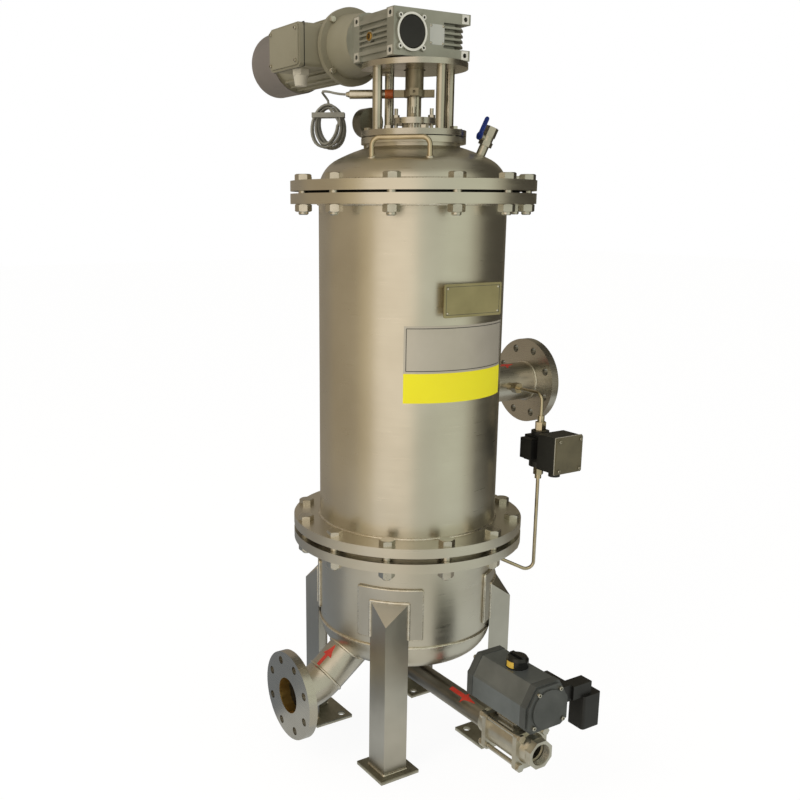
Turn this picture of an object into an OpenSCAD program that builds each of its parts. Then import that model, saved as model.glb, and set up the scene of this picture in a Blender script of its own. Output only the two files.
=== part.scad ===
// Self-cleaning scraper filter for a process line, standing on four legs.
// Dirty liquid enters the lower chamber, rises inside a cylindrical screen and leaves
// clean through the side nozzle. A geared motor on the lid turns a shaft with scraper
// blades that wipe the screen, and the dirt falls to the drain valve under the chamber.
// Millimetres, +Z up, origin on the vessel's axis at the floor, outlet towards +X,
// inlet towards -X, drain valve towards -Y, motor towards +Y.

/* [Vessel] */
// Outside diameter of the vessel's shells
vessel_od = 400; // [380:5:420]
// Wall of the shells and dished ends
shell_t = 5; // [3:0.5:8]
// Height of the seam between the dished bottom and the chamber
seam_z = 297; // [297:1:340]
// Straight height of the lower chamber under its flange
chamber_h = 196; // [190:1:240]
// Height of the body over both its flanges
body_h = 729; // [600:1:900]

/* [Main flanges] */
// Distance from the shells to the big flanges' bolt circle
bolt_seat = 40; // [37:1:44]
// Distance from the bolt circle to the big flanges' rim
flange_edge = 20; // [16:1:36]
// Number of bolts in a big flange
flange_bolts = 12; // [8:4:16]
// Thickness of the big flanges
flange_t = 21; // [16:1:28]
// Diameter of the big flanges' bolts
bolt_d = 20; // [16:1:22]
// Gap all round between a bolt and its hole
bolt_gap = 1; // [0.5:0.25:1.5]
// Thickness of each gasket beside the screen's ring
gasket_t = 2; // [1.5:0.5:4]
// Thickness of the gasket under the lid
lid_gasket_t = 5; // [3:0.5:8]

/* [Nozzles] */
// Outside diameter of the inlet and outlet pipes
pipe_od = 88.9; // [76:0.1:95]
// Wall of the inlet and outlet pipes
pipe_t = 4; // [3:0.5:6]
// Outside diameter of the nozzle flanges
nozzle_flange_od = 200; // [195:1:210]
// Pitch circle of the nozzle flanges' holes
nozzle_pcd = 160; // [150:1:165]
// Number of holes in a nozzle flange
nozzle_holes = 8; // [4:4:8]
// Diameter of the nozzle flanges' holes
nozzle_hole_d = 18; // [14:1:20]
// Thickness of the nozzle flanges
nozzle_flange_t = 20; // [16:1:24]
// Height of the outlet's axis
outlet_z = 822; // [760:1:860]
// Distance from the vessel's axis to the outlet's face
outlet_reach = 358; // [350:1:400]
// Height of the inlet's axis at its flange
inlet_z = 166; // [160:1:176]
// Distance from the vessel's axis to the inlet's face
inlet_reach = 318; // [312:1:340]
// Slope of the inlet pipe where it enters the chamber, in degrees
inlet_rise = 38; // [34:1:42]
// Bend radius of the inlet's elbow
elbow_r = 114; // [100:1:120]

/* [Drain] */
// Outside diameter of the drain pipe
drain_od = 48.3; // [42:0.1:50]
// Wall of the drain pipe
drain_t = 3.2; // [2:0.1:4]
// Height of the drain's axis
drain_z = 166; // [158:1:166]
// Bend radius of the drain's elbow
drain_bend_r = 30; // [27:1:31]
// Distance from the vessel's axis to the valve's stem
valve_y = 394; // [380:1:420]
// Length of the valve's middle body
valve_mid_l = 84; // [78:1:90]
// Outside diameter of the valve's middle body
valve_mid_d = 72; // [66:1:76]
// Thickness of the valve's bolted lugs
valve_lug_t = 11; // [8:1:14]
// Spacing of the valve's bolts
valve_bolt_s = 64; // [60:1:70]
// Diameter of the valve's bolts
valve_bolt_d = 10; // [8:1:12]
// Length of each valve end beyond its lugs
valve_end_l = 29; // [24:1:40]
// Width across the flats of the valve's threaded end
valve_end_af = 58; // [56:1:62]
// Bore of the valve and its thread
valve_bore = 40; // [32:1:42]
// Diameter of the thread in the valve's mouth
mouth_d = 46; // [44:1:49]
// Diameter of the valve's ball
ball_d = 60; // [56:1:62]
// Diameter of the valve's stem
stem_d = 16; // [12:1:18]

/* [Actuator] */
// Width of the actuator
act_w = 108; // [98:1:116]
// Height of the actuator
act_h = 98; // [90:1:106]
// Length of the actuator's body between its end caps
act_l = 146; // [130:1:160]
// Thickness of the actuator's end caps
act_cap_t = 21; // [16:1:26]
// Height of the actuator's underside
act_z = 228; // [224:1:240]
// Diameter of the position indicator
indicator_d = 46; // [36:1:50]
// Height of the position indicator
indicator_h = 22; // [16:1:28]
// Height and depth of the pilot valve's block
pilot_w = 36; // [30:1:40]
// Width of the pilot valve's coil
coil_w = 30; // [26:1:34]
// Length of the coil
coil_l = 50; // [44:1:60]
// Width of the coil's plug
plug_w = 48; // [40:1:52]
// Depth of the coil's plug
plug_d = 44; // [36:1:48]
// Height of the coil's plug
plug_h = 74; // [60:1:80]

/* [Legs] */
// Width of the legs' angle section
leg_w = 60; // [50:1:64]
// Wall of the legs' angle section
leg_t = 6; // [4:1:8]
// Distance from the shells to the legs' outer corners
leg_stand = 44; // [42:1:50]
// Height of the legs' inner edges
leg_h = 404; // [396:1:412]
// Drop of the legs' sloped caps towards the outer corner
leg_cap_drop = 42; // [20:1:60]
// Thickness of the legs' sloped caps
leg_cap_t = 4; // [3:1:6]
// Thickness of the pads between legs and chamber
pad_t = 6; // [4:1:8]
// Height of the pads
pad_h = 112; // [100:1:120]
// Width of the pads round the chamber, in degrees
pad_angle = 40; // [38:1:44]
// Width of the foot plates
foot_w = 100; // [95:1:110]
// Thickness of the foot plates
foot_t = 8; // [6:1:12]
// Overhang of the foot plates beyond the legs' outer faces
foot_over = 18; // [12:1:24]
// Distance of the anchor holes from the foot plates' inner edges
anchor_edge = 19.466; // [16:0.001:24]
// Diameter of the anchor holes
anchor_d = 18; // [14:1:20]

/* [Screen and scraper] */
// Space between the screen and the shells
screen_space = 45; // [40:1:55]
// Wall of the screen
screen_t = 4; // [3:0.5:6]
// Thickness of the ring that carries the screen
ring_t = 8; // [6:1:12]
// Diameter of the scraper's shaft
shaft_d = 30; // [26:1:34]
// Number of levels of scraper arms
arm_levels = 3; // [2:1:4]
// Gap between the blades and the screen
blade_gap = 0.5; // [0.4:0.1:1.5]
// Depth of the blades from their edge to the arms
blade_depth = 30; // [24:1:40]
// Thickness of the blades
blade_t = 8; // [6:1:12]
// Length of the blades beyond the first and last arms
blade_over = 40; // [30:1:45]
// Height of the arms' hubs
arm_h = 24; // [20:1:30]

/* [Lid and neck] */
// Diameter of the neck on the lid
neck_od = 196; // [188:1:206]
// Diameter of the neck's flanges
neck_flange_od = 220; // [214:1:230]
// Thickness of the neck's flanges
neck_flange_t = 12; // [10:1:16]
// Thickness of the neck's gasket
neck_gasket_t = 2; // [1.5:0.5:3]
// Height of the neck's flange over the lid's underside
neck_rise = 95; // [94:1:110]
// Diameter of the neck's bolts
neck_bolt_d = 10; // [8:1:12]
// Rod of the lifting handles
handle_d = 10; // [8:1:12]
// Width of the lifting handles
handle_w = 116; // [100:1:126]
// Height of the lifting handles over the lid's underside
handle_rise = 101; // [98:1:112]
// Distance of the lifting handles from the vessel's axis
handle_r = 150; // [140:1:156]

/* [Drive] */
// Diameter of the columns
column_d = 20; // [16:1:24]
// Distance of the columns from the vessel's axis
column_r = 92; // [88:1:96]
// Height of the columns
column_h = 121; // [116:1:140]
// Diameter of the motor's plate
plate_od = 220; // [212:1:240]
// Thickness of the motor's plate
plate_t = 11; // [8:1:16]
// Outer radius of the gland's follower
gland_r = 46; // [42:1:50]
// Thickness of the gland's follower
gland_t = 12; // [8:1:14]
// Height of the gland's follower over the base plate
gland_rise = 14; // [10:1:18]
// Reach of the trigger cross's arms
cross_reach = 42; // [36:1:46]
// Height of the trigger cross's underside over the base plate
cross_rise = 68; // [60:1:72]
// Thickness of the trigger cross
cross_t = 14; // [12:1:18]
// Diameter of the proximity sensor
sensor_d = 18; // [12:1:20]
// Length of the proximity sensor
sensor_l = 90; // [70:1:100]
// Direction of the sensor round the shaft, in degrees
sensor_az = 144; // [140:1:150]

/* [Gearbox] */
// Length of the gearbox along the worm
gear_l = 148; // [140:1:156]
// Reach of the gearbox on the worm's side
gear_in = 104; // [100:1:110]
// Reach of the gearbox on the wheel's side
gear_out = 84; // [78:1:90]
// Height of the gearbox
gear_h = 94; // [86:1:110]
// Distance between the worm and the wheel
worm_offset = 63; // [58:1:66]
// Diameter of the bearing cap over the worm
worm_cap_d = 62; // [56:1:68]

/* [Motor] */
// Length of the bell between the gearbox and the motor
adapter_l = 68; // [60:1:76]
// Diameter of the motor's flange
motor_flange_d = 158; // [150:1:166]
// Diameter of the motor's frame
motor_d = 128; // [120:1:132]
// Length of the motor's frame
motor_l = 240; // [220:1:260]
// Diameter of the fan cowl
cowl_d = 146; // [142:1:154]
// Length of the fan cowl
cowl_l = 92; // [80:1:110]
// Wall of the fan cowl
cowl_t = 2; // [1.5:0.5:3]
// Length of the terminal box along the motor
box_l = 135; // [120:1:145]
// Height of the terminal box
box_h = 88; // [80:1:96]
// Distance from the motor's axis to the terminal box's seam
box_reach = 110; // [102:1:118]
// Depth of the terminal box's cover
box_cover_t = 14; // [10:1:18]

/* [Vent] */
// Direction of the vent valve round the lid, in degrees
vent_az = -36; // [-42:1:-30]
// Tilt of the vent valve from upright, in degrees
vent_tilt = 23; // [21:1:24]
// Turn of the vent's lever round its valve, in degrees
vent_turn = -55; // [-80:1:-20]
// Bore of the vent valve
vent_bore = 9; // [8:1:10]

/* [Pressure switch] */
// Distance from the shells to the pressure switch's axis
switch_stand = 56; // [50:1:62]
// Distance of the switch's tubes from the vessel's axis towards the drain
switch_y = 155; // [150:1:162]
// Height of the switch's underside
switch_z = 662; // [640:1:680]
// Width of the switch's case
switch_w = 75; // [68:1:82]
// Height of the switch's case
switch_h = 80; // [72:1:88]
// Depth of the switch's case
switch_d = 54; // [48:1:60]
// Diameter of the switch's tubes
tube_d = 8; // [6:1:10]
// Lowest height of the switch's lower tube
low_bend_z = 405; // [404:1:416]

/* [Instruments] */
// Diameter of the pressure gauge
gauge_d = 62; // [56:1:66]
// Depth of the pressure gauge
gauge_t = 30; // [26:1:34]
// Height of the pressure gauge's middle over the lid's underside
gauge_rise = 147; // [136:1:156]
// Width of the name plate
name_w = 145; // [120:1:160]
// Height of the name plate
name_h = 66; // [50:1:80]
// Height of the name plate's middle
name_z = 1048; // [1000:1:1090]
// Gap between the name plate and the body
plate_gap = 13; // [8:1:16]

/* [Clearances] */
// Radial clearance of a turning fit
fit = 0.05; // [0.02:0.01:0.1]
// Root gap between two pieces that are welded end to end
weld_gap = 0.02; // [0.02:0.01:0.1]
// Small clearance between pieces on different bodies
run_gap = 0.5; // [0.3:0.1:1]

/* [Hidden] */
$fn = 48;

// Heights of the stack, from the floor up
crown_r = 0.9 * vessel_od;
knuckle_r = 0.173 * vessel_od;
head_depth = crown_r - sqrt(pow(crown_r - knuckle_r, 2) - pow(vessel_od / 2 - knuckle_r, 2));
crown_edge_r = (vessel_od / 2 - knuckle_r) * crown_r / (crown_r - knuckle_r);
z_tan = seam_z;
bottom_z = z_tan - head_depth;
z_chamber_flange = z_tan + chamber_h;
z_ring = z_chamber_flange + flange_t + gasket_t;
z_body = z_ring + ring_t + gasket_t;
z_body_top = z_body + body_h;
z_lid = z_body_top + lid_gasket_t;
z_lid_tan = z_lid + 2;
z_neck = z_lid + neck_rise;
z_base = z_neck + neck_flange_t + neck_gasket_t;
z_base_top = z_base + neck_flange_t;
z_plate = z_base_top + column_h;
z_gear = z_plate + plate_t;
z_worm = z_gear + gear_h / 2;
z_cross = z_base_top + cross_rise;
z_sensor = z_cross + cross_t / 2;

// Sizes that several pieces share
hex_ratio = 2 / sqrt(3);
flange_pcd = vessel_od + 2 * bolt_seat;
flange_od = flange_pcd + 2 * flange_edge;
pipe_id = pipe_od - 2 * pipe_t;
drain_id = drain_od - 2 * drain_t;
shell_r = vessel_od / 2;
hole_d = bolt_d + 2 * bolt_gap;
clamp_od = flange_pcd - hole_d - 8;
screen_od = vessel_od - 2 * shell_t - 2 * screen_space;
screen_id = screen_od - 2 * screen_t;
screen_foot_z = z_ring + ring_t;
screen_top_z = z_body_top - 30;
hub_drop = 12;
elbow_x = -inlet_reach + nozzle_flange_t + 8;
leg_r = shell_r + leg_stand;
leg_xy = leg_r / sqrt(2);
foot_xy = leg_xy - foot_w + foot_over;
anchor_xy = foot_xy + anchor_edge;
pad_r = shell_r + pad_t;
pad_z = leg_h - pad_h + 28;
packing_od = shaft_d + 20;
packing_h = 0.3 * shaft_d;
packing_count = 3;
packing_z = z_base - packing_count * packing_h - 1;
packing_floor = 1.6 * shell_t;
box_od = packing_od + 20;
journal_d = shaft_d - 5;
journal_z = z_gear - 3;
journal_l = gear_h * 0.7;
adapter_d = 0.72 * motor_flange_d;
bell_d = 0.82 * motor_flange_d;
motor_y = gear_l / 2 + adapter_l;
motor_flange_t = 13;
frame_y = motor_y + motor_flange_t - 1;
cowl_y = frame_y + motor_l - 6;
cowl_lap = 16;
rotor_d = 20;
rotor_seat = motor_l / 4;
valve_near = valve_y + valve_mid_l / 2;
valve_far = valve_y - valve_mid_l / 2;
mouth_y = valve_near + valve_lug_t + valve_end_l;
pipe_end_y = valve_far - valve_lug_t - valve_end_l;
stem_top_z = act_z + act_h;
switch_front = switch_y + 1.7 * switch_d;
switch_rear = switch_front - switch_d;
switch_x = shell_r + switch_stand;
case_x = switch_x - 0.05 * switch_w;
name_t = 2;

// Points of the sensor's cable from the sensor's tail to the top of its hank
CABLE_D = 5;
CABLE_SIDES = 8;
CABLE_ROUTE = [
    [-116, 84, 1456], [-125, 91, 1457], [-134, 99, 1459], [-140, 109, 1462], [-143, 121, 1464],
    [-142, 133, 1465], [-137, 144, 1464], [-129, 152, 1461], [-121, 156, 1456], [-116, 156, 1450],
    [-115, 156, 1444.6]
];
HANK_AT = [-115, 156, 1398];
HANK_W = 66;
HANK_L = 92;
HANK_T = 28;
HANK_TURN = -36;
TIE_W = 10;
TIE_T = 2;
TIE_Z = 22;

// Shared shapes
module tube(od, id, h) {
    difference() {
        cylinder(d = od, h = h);
        translate([0, 0, -1]) cylinder(d = id, h = h + 2);
    }
}

module at_circle(count, pcd, first = 0) {
    for (i = [0 : count - 1])
        rotate([0, 0, first + i * 360 / count]) translate([pcd / 2, 0, 0]) children();
}

module hex_prism(across, h) {
    cylinder(d = across * hex_ratio, h = h, $fn = 6);
}

// Bolt through a stack from z0 to z1, head on top and nut below
module through_bolt(d, z0, z1) {
    translate([0, 0, z1]) hex_prism(1.5 * d, 0.63 * d);
    translate([0, 0, z0 - 1.1 * d]) cylinder(d = d, h = z1 - z0 + 1.1 * d + 1);
    translate([0, 0, z0 - 0.8 * d]) hex_prism(1.5 * d, 0.8 * d);
}

module round_rect(w, h, r) {
    square([w - 2 * r, h], center = true);
    square([w, h - 2 * r], center = true);
    for (x = [-1, 1])
        for (y = [-1, 1])
            translate([x * (w / 2 - r), y * (h / 2 - r)]) circle(r);
}

// Half outline of a dished end with a straight skirt under it, shrunk by the wall where one is given
module dish_outline(skirt, wall = 0) {
    intersection() {
        union() {
            translate([shell_r - knuckle_r, 0]) circle(knuckle_r - wall);
            intersection() {
                translate([0, head_depth - crown_r]) circle(crown_r - wall);
                square([crown_edge_r - wall * crown_edge_r / crown_r, vessel_od]);
            }
        }
        square(vessel_od);
    }
    translate([0, -skirt]) square([shell_r - wall, skirt]);
}

module chamber_solid() {
    translate([0, 0, z_tan]) rotate([180, 0, 0]) rotate_extrude() dish_outline(chamber_h + flange_t);
}

module lid_solid() {
    translate([0, 0, z_lid_tan]) rotate_extrude() dish_outline(z_lid_tan - z_lid);
}

module flange_holes() {
    at_circle(flange_bolts, flange_pcd, 15) translate([0, 0, -1]) cylinder(d = hole_d, h = flange_t + 2);
}

module nozzle_flange() {
    difference() {
        tube(nozzle_flange_od, pipe_id, nozzle_flange_t);
        at_circle(nozzle_holes, nozzle_pcd, 22.5)
            translate([0, 0, -1]) cylinder(d = nozzle_hole_d, h = nozzle_flange_t + 2);
    }
}

// Straight pipe from the end of the inlet's elbow up into the chamber
module inlet_rise_rod(d) {
    translate([elbow_x + elbow_r * sin(inlet_rise), 0, inlet_z + elbow_r * (1 - cos(inlet_rise))])
        rotate([0, 90 - inlet_rise, 0]) translate([0, 0, weld_gap]) cylinder(d = d, h = shell_r * 0.8);
}

// Lower chamber
module lower_chamber() {
    color("#b3aea0") difference() {
        translate([0, 0, z_tan]) rotate([180, 0, 0]) rotate_extrude() difference() {
            union() {
                dish_outline(chamber_h + flange_t);
                translate([0, -chamber_h - flange_t]) square([flange_od / 2, flange_t]);
            }
            dish_outline(chamber_h + flange_t + 1, shell_t);
        }
        translate([0, 0, z_chamber_flange]) flange_holes();
        inlet_rise_rod(pipe_id);
        translate([0, 0, bottom_z - 20]) cylinder(d = drain_id, h = 60);
    }
}

module inlet_nozzle() {
    color("#b9b2a2") {
        translate([-inlet_reach + nozzle_flange_t, 0, inlet_z])
            rotate([0, 90, 0]) tube(pipe_od, pipe_id, elbow_x + inlet_reach - nozzle_flange_t);
        translate([elbow_x, 0, inlet_z + elbow_r]) rotate([90, 0, 0]) rotate([0, 0, -90])
            rotate_extrude(angle = inlet_rise) translate([elbow_r, 0]) pipe_ring();
        difference() {
            inlet_rise_rod(pipe_od);
            inlet_rise_rod(pipe_id);
            chamber_solid();
        }
    }
}

module pipe_ring() {
    difference() {
        circle(d = pipe_od);
        circle(d = pipe_id);
    }
}

module inlet_flange() {
    color("#a9aaa6") translate([-inlet_reach, 0, inlet_z]) rotate([0, 90, 0]) nozzle_flange();
}

module drain_pipe() {
    color("#a8a294") difference() {
        union() {
            drain_stub(drain_od);
            drain_elbow(drain_od);
            drain_level(drain_od);
        }
        drain_stub(drain_id, 1);
        drain_elbow(drain_id);
        drain_level(drain_id, 1);
        chamber_solid();
    }
}

module drain_stub(d, past = 0) {
    translate([0, 0, drain_z + drain_bend_r])
        cylinder(d = d, h = bottom_z - drain_z - drain_bend_r + 40 + past);
}

module drain_elbow(d) {
    translate([0, -drain_bend_r, drain_z + drain_bend_r])
        rotate([0, 0, 90]) rotate([90, 0, 0]) rotate([0, 0, -90])
            rotate_extrude(angle = 90) translate([drain_bend_r, 0]) circle(d = d);
}

module drain_level(d, past = 0) {
    translate([0, -drain_bend_r, drain_z])
        rotate([90, 0, 0]) cylinder(d = d, h = pipe_end_y - drain_bend_r + past);
}

// Legs of angle section with sloped caps
module leg_half_space(lift) {
    slope = atan(leg_cap_drop * sqrt(2) / leg_w);
    translate([0, 0, leg_h - leg_cap_drop + lift])
        rotate([0, 0, 45]) rotate([0, -slope, 0]) translate([-leg_h, -leg_h, 0]) cube(2 * leg_h);
}

module leg(turn) {
    color("#aba594") difference() {
        rotate([0, 0, turn]) translate([-leg_xy, -leg_xy, 0]) {
            difference() {
                translate([0, 0, foot_t]) linear_extrude(leg_h - foot_t) {
                    square([leg_w, leg_t]);
                    square([leg_t, leg_w]);
                }
                leg_half_space(-leg_cap_t);
            }
            intersection() {
                linear_extrude(leg_h + leg_w) polygon([[0, 0], [leg_w, 0], [0, leg_w]]);
                difference() {
                    leg_half_space(-leg_cap_t);
                    leg_half_space(0);
                }
            }
        }
        cylinder(r = pad_r, h = 2 * leg_h);
    }
}

module leg_front() { leg(0); }
module leg_left() { leg(-90); }
module leg_right() { leg(90); }
module leg_back() { leg(180); }

module leg_pads() {
    color("#b1ab9b") for (i = [0 : 3])
        rotate([0, 0, 45 + 90 * i - pad_angle / 2]) translate([0, 0, pad_z])
            rotate_extrude(angle = pad_angle) translate([shell_r, 0]) square([pad_t, pad_h]);
}

module foot_plates() {
    color("#5d5b4c") for (i = [0 : 3]) rotate([0, 0, 90 * i]) difference() {
        translate([foot_xy, foot_xy, 0]) cube([foot_w, foot_w, foot_t]);
        translate([anchor_xy, anchor_xy, -1]) cylinder(d = anchor_d, h = foot_t + 2);
    }
}

// Body with its outlet
module body_shell() {
    inner = shell_r - shell_t;
    color("#b5ab96") difference() {
        translate([0, 0, z_body]) rotate_extrude() {
            translate([inner, 0]) square([shell_t, body_h]);
            for (z = [0, body_h - flange_t]) translate([inner, z]) square([flange_od / 2 - inner, flange_t]);
        }
        for (z = [z_body, z_body_top - flange_t]) translate([0, 0, z]) flange_holes();
        translate([0, 0, outlet_z]) rotate([0, 90, 0]) cylinder(d = pipe_id, h = vessel_od);
    }
}

module outlet_nozzle() {
    color("#98937f") translate([0, 0, outlet_z]) difference() {
        rotate([0, 90, 0]) cylinder(d = pipe_od, h = outlet_reach - nozzle_flange_t);
        rotate([0, 90, 0]) cylinder(d = pipe_id, h = outlet_reach);
        translate([0, 0, -pipe_od]) cylinder(r = shell_r, h = 2 * pipe_od);
    }
}

module outlet_flange() {
    color("#8d897b") translate([outlet_reach - nozzle_flange_t, 0, outlet_z])
        rotate([0, 90, 0]) nozzle_flange();
}

// Blank plate on two stand-offs, for the maker's data
module name_plate() {
    color("#c6c2b4") difference() {
        union() {
            translate([0, -shell_r - plate_gap, name_z]) rotate([90, 0, 0])
                linear_extrude(name_t) round_rect(name_w, name_h, 4);
            for (x = [-1, 1]) translate([x * name_w * 0.3, 0, name_z]) rotate([90, 0, 0])
                cylinder(d = 14, h = shell_r + plate_gap);
        }
        translate([0, 0, z_body]) cylinder(r = shell_r, h = body_h);
    }
}

// Screen clamped between the lower flanges
module gaskets() {
    color("#2b2b29") {
        for (z = [z_ring - gasket_t, z_ring + ring_t])
            translate([0, 0, z]) tube(clamp_od, vessel_od - 2 * shell_t, gasket_t);
        translate([0, 0, z_body_top]) tube(clamp_od, vessel_od - 2 * shell_t, lid_gasket_t);
        translate([0, 0, z_neck + neck_flange_t]) tube(2 * column_r - 12, neck_od - 40, neck_gasket_t);
    }
}

module screen_ring() {
    hub_d = shaft_d + 40;
    bush_d = shaft_d + 16;
    spoke_w = 16;
    color("#a7a69f") translate([0, 0, z_ring]) {
        linear_extrude(ring_t) difference() {
            union() {
                difference() {
                    circle(d = clamp_od);
                    circle(d = screen_id);
                }
                for (i = [0 : 3]) rotate(90 * i)
                    translate([0, -spoke_w / 2]) square([screen_id / 2 + 2, spoke_w]);
                circle(d = hub_d);
            }
            circle(d = bush_d);
        }
        translate([0, 0, -hub_drop]) tube(hub_d, bush_d, hub_drop);
    }
}

module lower_bearing() {
    color("#c8a35a") translate([0, 0, z_ring - hub_drop])
        tube(shaft_d + 16, shaft_d + 2 * fit, ring_t + hub_drop);
}

module filter_screen() {
    color("#c2c1ba") translate([0, 0, screen_foot_z])
        tube(screen_od, screen_id, screen_top_z - screen_foot_z);
}

module screen_rods() {
    color("#b7b6ae") at_circle(24, screen_od + 8)
        translate([0, 0, screen_foot_z]) cylinder(d = 8, h = screen_top_z - screen_foot_z - 10, $fn = 24);
}

module screen_top_ring() {
    color("#a7a69f") translate([0, 0, screen_top_z - 10])
        tube(vessel_od - 2 * shell_t - 0.4, screen_od, 10);
}

module flange_bolts(z0, z1) {
    color("#c9c8c2") at_circle(flange_bolts, flange_pcd, 15) through_bolt(bolt_d, z0, z1);
}

module lower_flange_bolts() { flange_bolts(z_chamber_flange, z_body + flange_t); }
module upper_flange_bolts() { flange_bolts(z_body_top - flange_t, z_lid + flange_t); }

// Lid with its neck and handles
module lid() {
    skirt = z_lid_tan - z_lid;
    neck_top = z_neck + neck_flange_t - z_lid_tan;
    color("#a59d89") difference() {
        translate([0, 0, z_lid_tan]) rotate_extrude() difference() {
            union() {
                dish_outline(skirt);
                translate([0, -skirt]) square([flange_od / 2, flange_t]);
                translate([0, skirt]) square([neck_od / 2, neck_top - skirt]);
                translate([0, neck_top - neck_flange_t]) square([neck_flange_od / 2, neck_flange_t]);
            }
            dish_outline(skirt + 1, shell_t);
            translate([0, -skirt - 1]) square([neck_od / 2 - 20, vessel_od]);
        }
        translate([0, 0, z_lid]) flange_holes();
        neck_bolt_places() translate([0, 0, z_neck + 1]) cylinder(d = neck_bolt_d, h = neck_flange_t);
    }
}

module lid_handles() {
    bend = 16;
    top_z = z_lid + handle_rise;
    half = handle_w / 2 - bend;
    color("#bdb9ac") for (turn = [45, 225]) rotate([0, 0, turn]) translate([handle_r, 0, 0]) difference() {
        for (s = [-1, 1]) {
            translate([0, s * handle_w / 2, z_lid]) cylinder(d = handle_d, h = handle_rise - bend);
            translate([0, s * half, top_z - bend])
                rotate([90, 0, 90]) rotate([0, 0, s > 0 ? 0 : 90])
                    rotate_extrude(angle = 90) translate([bend, 0]) circle(d = handle_d);
            translate([0, 0, top_z]) rotate([-90 * s, 0, 0]) cylinder(d = handle_d, h = half);
        }
        translate([-handle_r, 0, 0]) lid_solid();
    }
}

module neck_bolt_places() {
    at_circle(8, 2 * column_r + 8, 22.5) children();
}

module neck_bolts() {
    color("#c9c8c2") neck_bolt_places() {
        translate([0, 0, z_neck + 2]) cylinder(d = neck_bolt_d, h = z_base_top - z_neck - 1);
        translate([0, 0, z_base_top]) hex_prism(1.6 * neck_bolt_d, 0.64 * neck_bolt_d);
    }
}

// Base plate with the stuffing box for the shaft
module base_plate() {
    color("#a39c8a") difference() {
        union() {
            translate([0, 0, z_base]) cylinder(d = neck_flange_od, h = neck_flange_t);
            translate([0, 0, packing_z - packing_floor])
                cylinder(d = box_od, h = z_base - packing_z + packing_floor + 1);
        }
        translate([0, 0, packing_z]) cylinder(d = packing_od, h = z_base_top - packing_z + 1);
        translate([0, 0, packing_z - packing_floor - 1]) cylinder(d = shaft_d + 2, h = packing_floor + 2);
        neck_bolt_places() translate([0, 0, z_base - 1]) cylinder(d = neck_bolt_d + 1, h = neck_flange_t + 2);
    }
}

module packing_rings() {
    color("#4a4840") for (i = [0 : packing_count - 1])
        translate([0, 0, packing_z + i * packing_h]) tube(packing_od, shaft_d + 2 * fit, packing_h);
}

module gland_follower() {
    nose_z = packing_z + packing_count * packing_h;
    z = z_base_top + gland_rise;
    color("#b0aa99") difference() {
        union() {
            translate([0, 0, z]) cylinder(r = gland_r, h = gland_t);
            translate([0, 0, nose_z]) cylinder(d = packing_od - 1, h = z - nose_z + 1);
        }
        translate([0, 0, nose_z - 1]) cylinder(d = shaft_d + 2 * run_gap, h = z + gland_t - nose_z + 2);
        gland_places() translate([0, 0, z - 1]) cylinder(d = 9, h = gland_t + 2);
    }
}

module gland_places() {
    at_circle(4, 2 * gland_r - 18, 54) children();
}

module gland_studs() {
    z = z_base_top + gland_rise;
    color("#cfcdc4") gland_places() {
        translate([0, 0, z_base_top]) cylinder(d = 8, h = gland_rise + gland_t + 20, $fn = 24);
        translate([0, 0, z + gland_t]) hex_prism(13, 7);
    }
}

module columns() {
    color("#b6b09c") at_circle(4, 2 * column_r)
        translate([0, 0, z_base_top]) cylinder(d = column_d, h = column_h);
}

module motor_plate() {
    color("#9d947e") difference() {
        translate([0, 0, z_plate]) tube(plate_od, shaft_d + 16, plate_t);
        on_motor_axis(gear_l / 2 - 2) cylinder(d = bell_d + 4, h = plate_od);
    }
}

// Scraper that turns inside the screen
module scraper_shaft() {
    foot_z = z_ring - hub_drop;
    color("#bfbdb4") {
        translate([0, 0, foot_z]) cylinder(d = shaft_d, h = journal_z - foot_z);
        translate([0, 0, journal_z - 1]) cylinder(d = journal_d, h = journal_l);
        translate([0, 0, foot_z - 6]) cylinder(d = shaft_d - 6, h = 7);
    }
}

arm_z0 = screen_foot_z + 60;
arm_z1 = screen_top_z - 60;
blade_r = screen_id / 2 - blade_gap;

module scraper_arms() {
    hub_d = shaft_d + 20;
    bar = 10;
    color("#a9a9a3") difference() {
        for (i = [0 : arm_levels - 1]) translate([0, 0, arm_z0 + i * (arm_z1 - arm_z0) / (arm_levels - 1)]) {
            cylinder(d = hub_d, h = arm_h);
            for (s = [0, 180]) rotate([0, 0, s]) translate([hub_d / 2 - 5, -bar / 2, arm_h / 6])
                cube([blade_r - blade_depth - hub_d / 2 + 5, bar, 2 * arm_h / 3]);
        }
        translate([0, 0, screen_foot_z]) cylinder(d = shaft_d, h = body_h);
    }
}

module scraper_blades() {
    color("#e4e2da") for (s = [0, 180]) rotate([0, 0, s]) intersection() {
        translate([blade_r - blade_depth, -blade_t / 2, arm_z0 - blade_over])
            cube([blade_depth + blade_t, blade_t, arm_z1 - arm_z0 + arm_h + 2 * blade_over]);
        cylinder(r = blade_r, h = 2 * z_lid);
    }
}

module trigger_cross() {
    arm_w = 18;
    color("#8f8a7d") translate([0, 0, z_cross]) difference() {
        union() {
            cylinder(d = shaft_d + 16, h = cross_t);
            translate([0, 0, cross_t - 0.01])
                cylinder(d = shaft_d + 8, h = journal_z - z_cross - cross_t - 6);
            for (i = [0 : 3]) rotate([0, 0, sensor_az + 90 * i])
                translate([shaft_d / 2, -arm_w / 2, 0]) cube([cross_reach - shaft_d / 2, arm_w, cross_t]);
        }
        translate([0, 0, -1]) cylinder(d = shaft_d, h = column_h);
        for (i = [0 : 3]) rotate([0, 0, sensor_az + 90 * i])
            translate([cross_reach - 10, 0, cross_t / 2])
                rotate([0, 90, 0]) cylinder(d = 6, h = 20, $fn = 24);
    }
}

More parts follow.
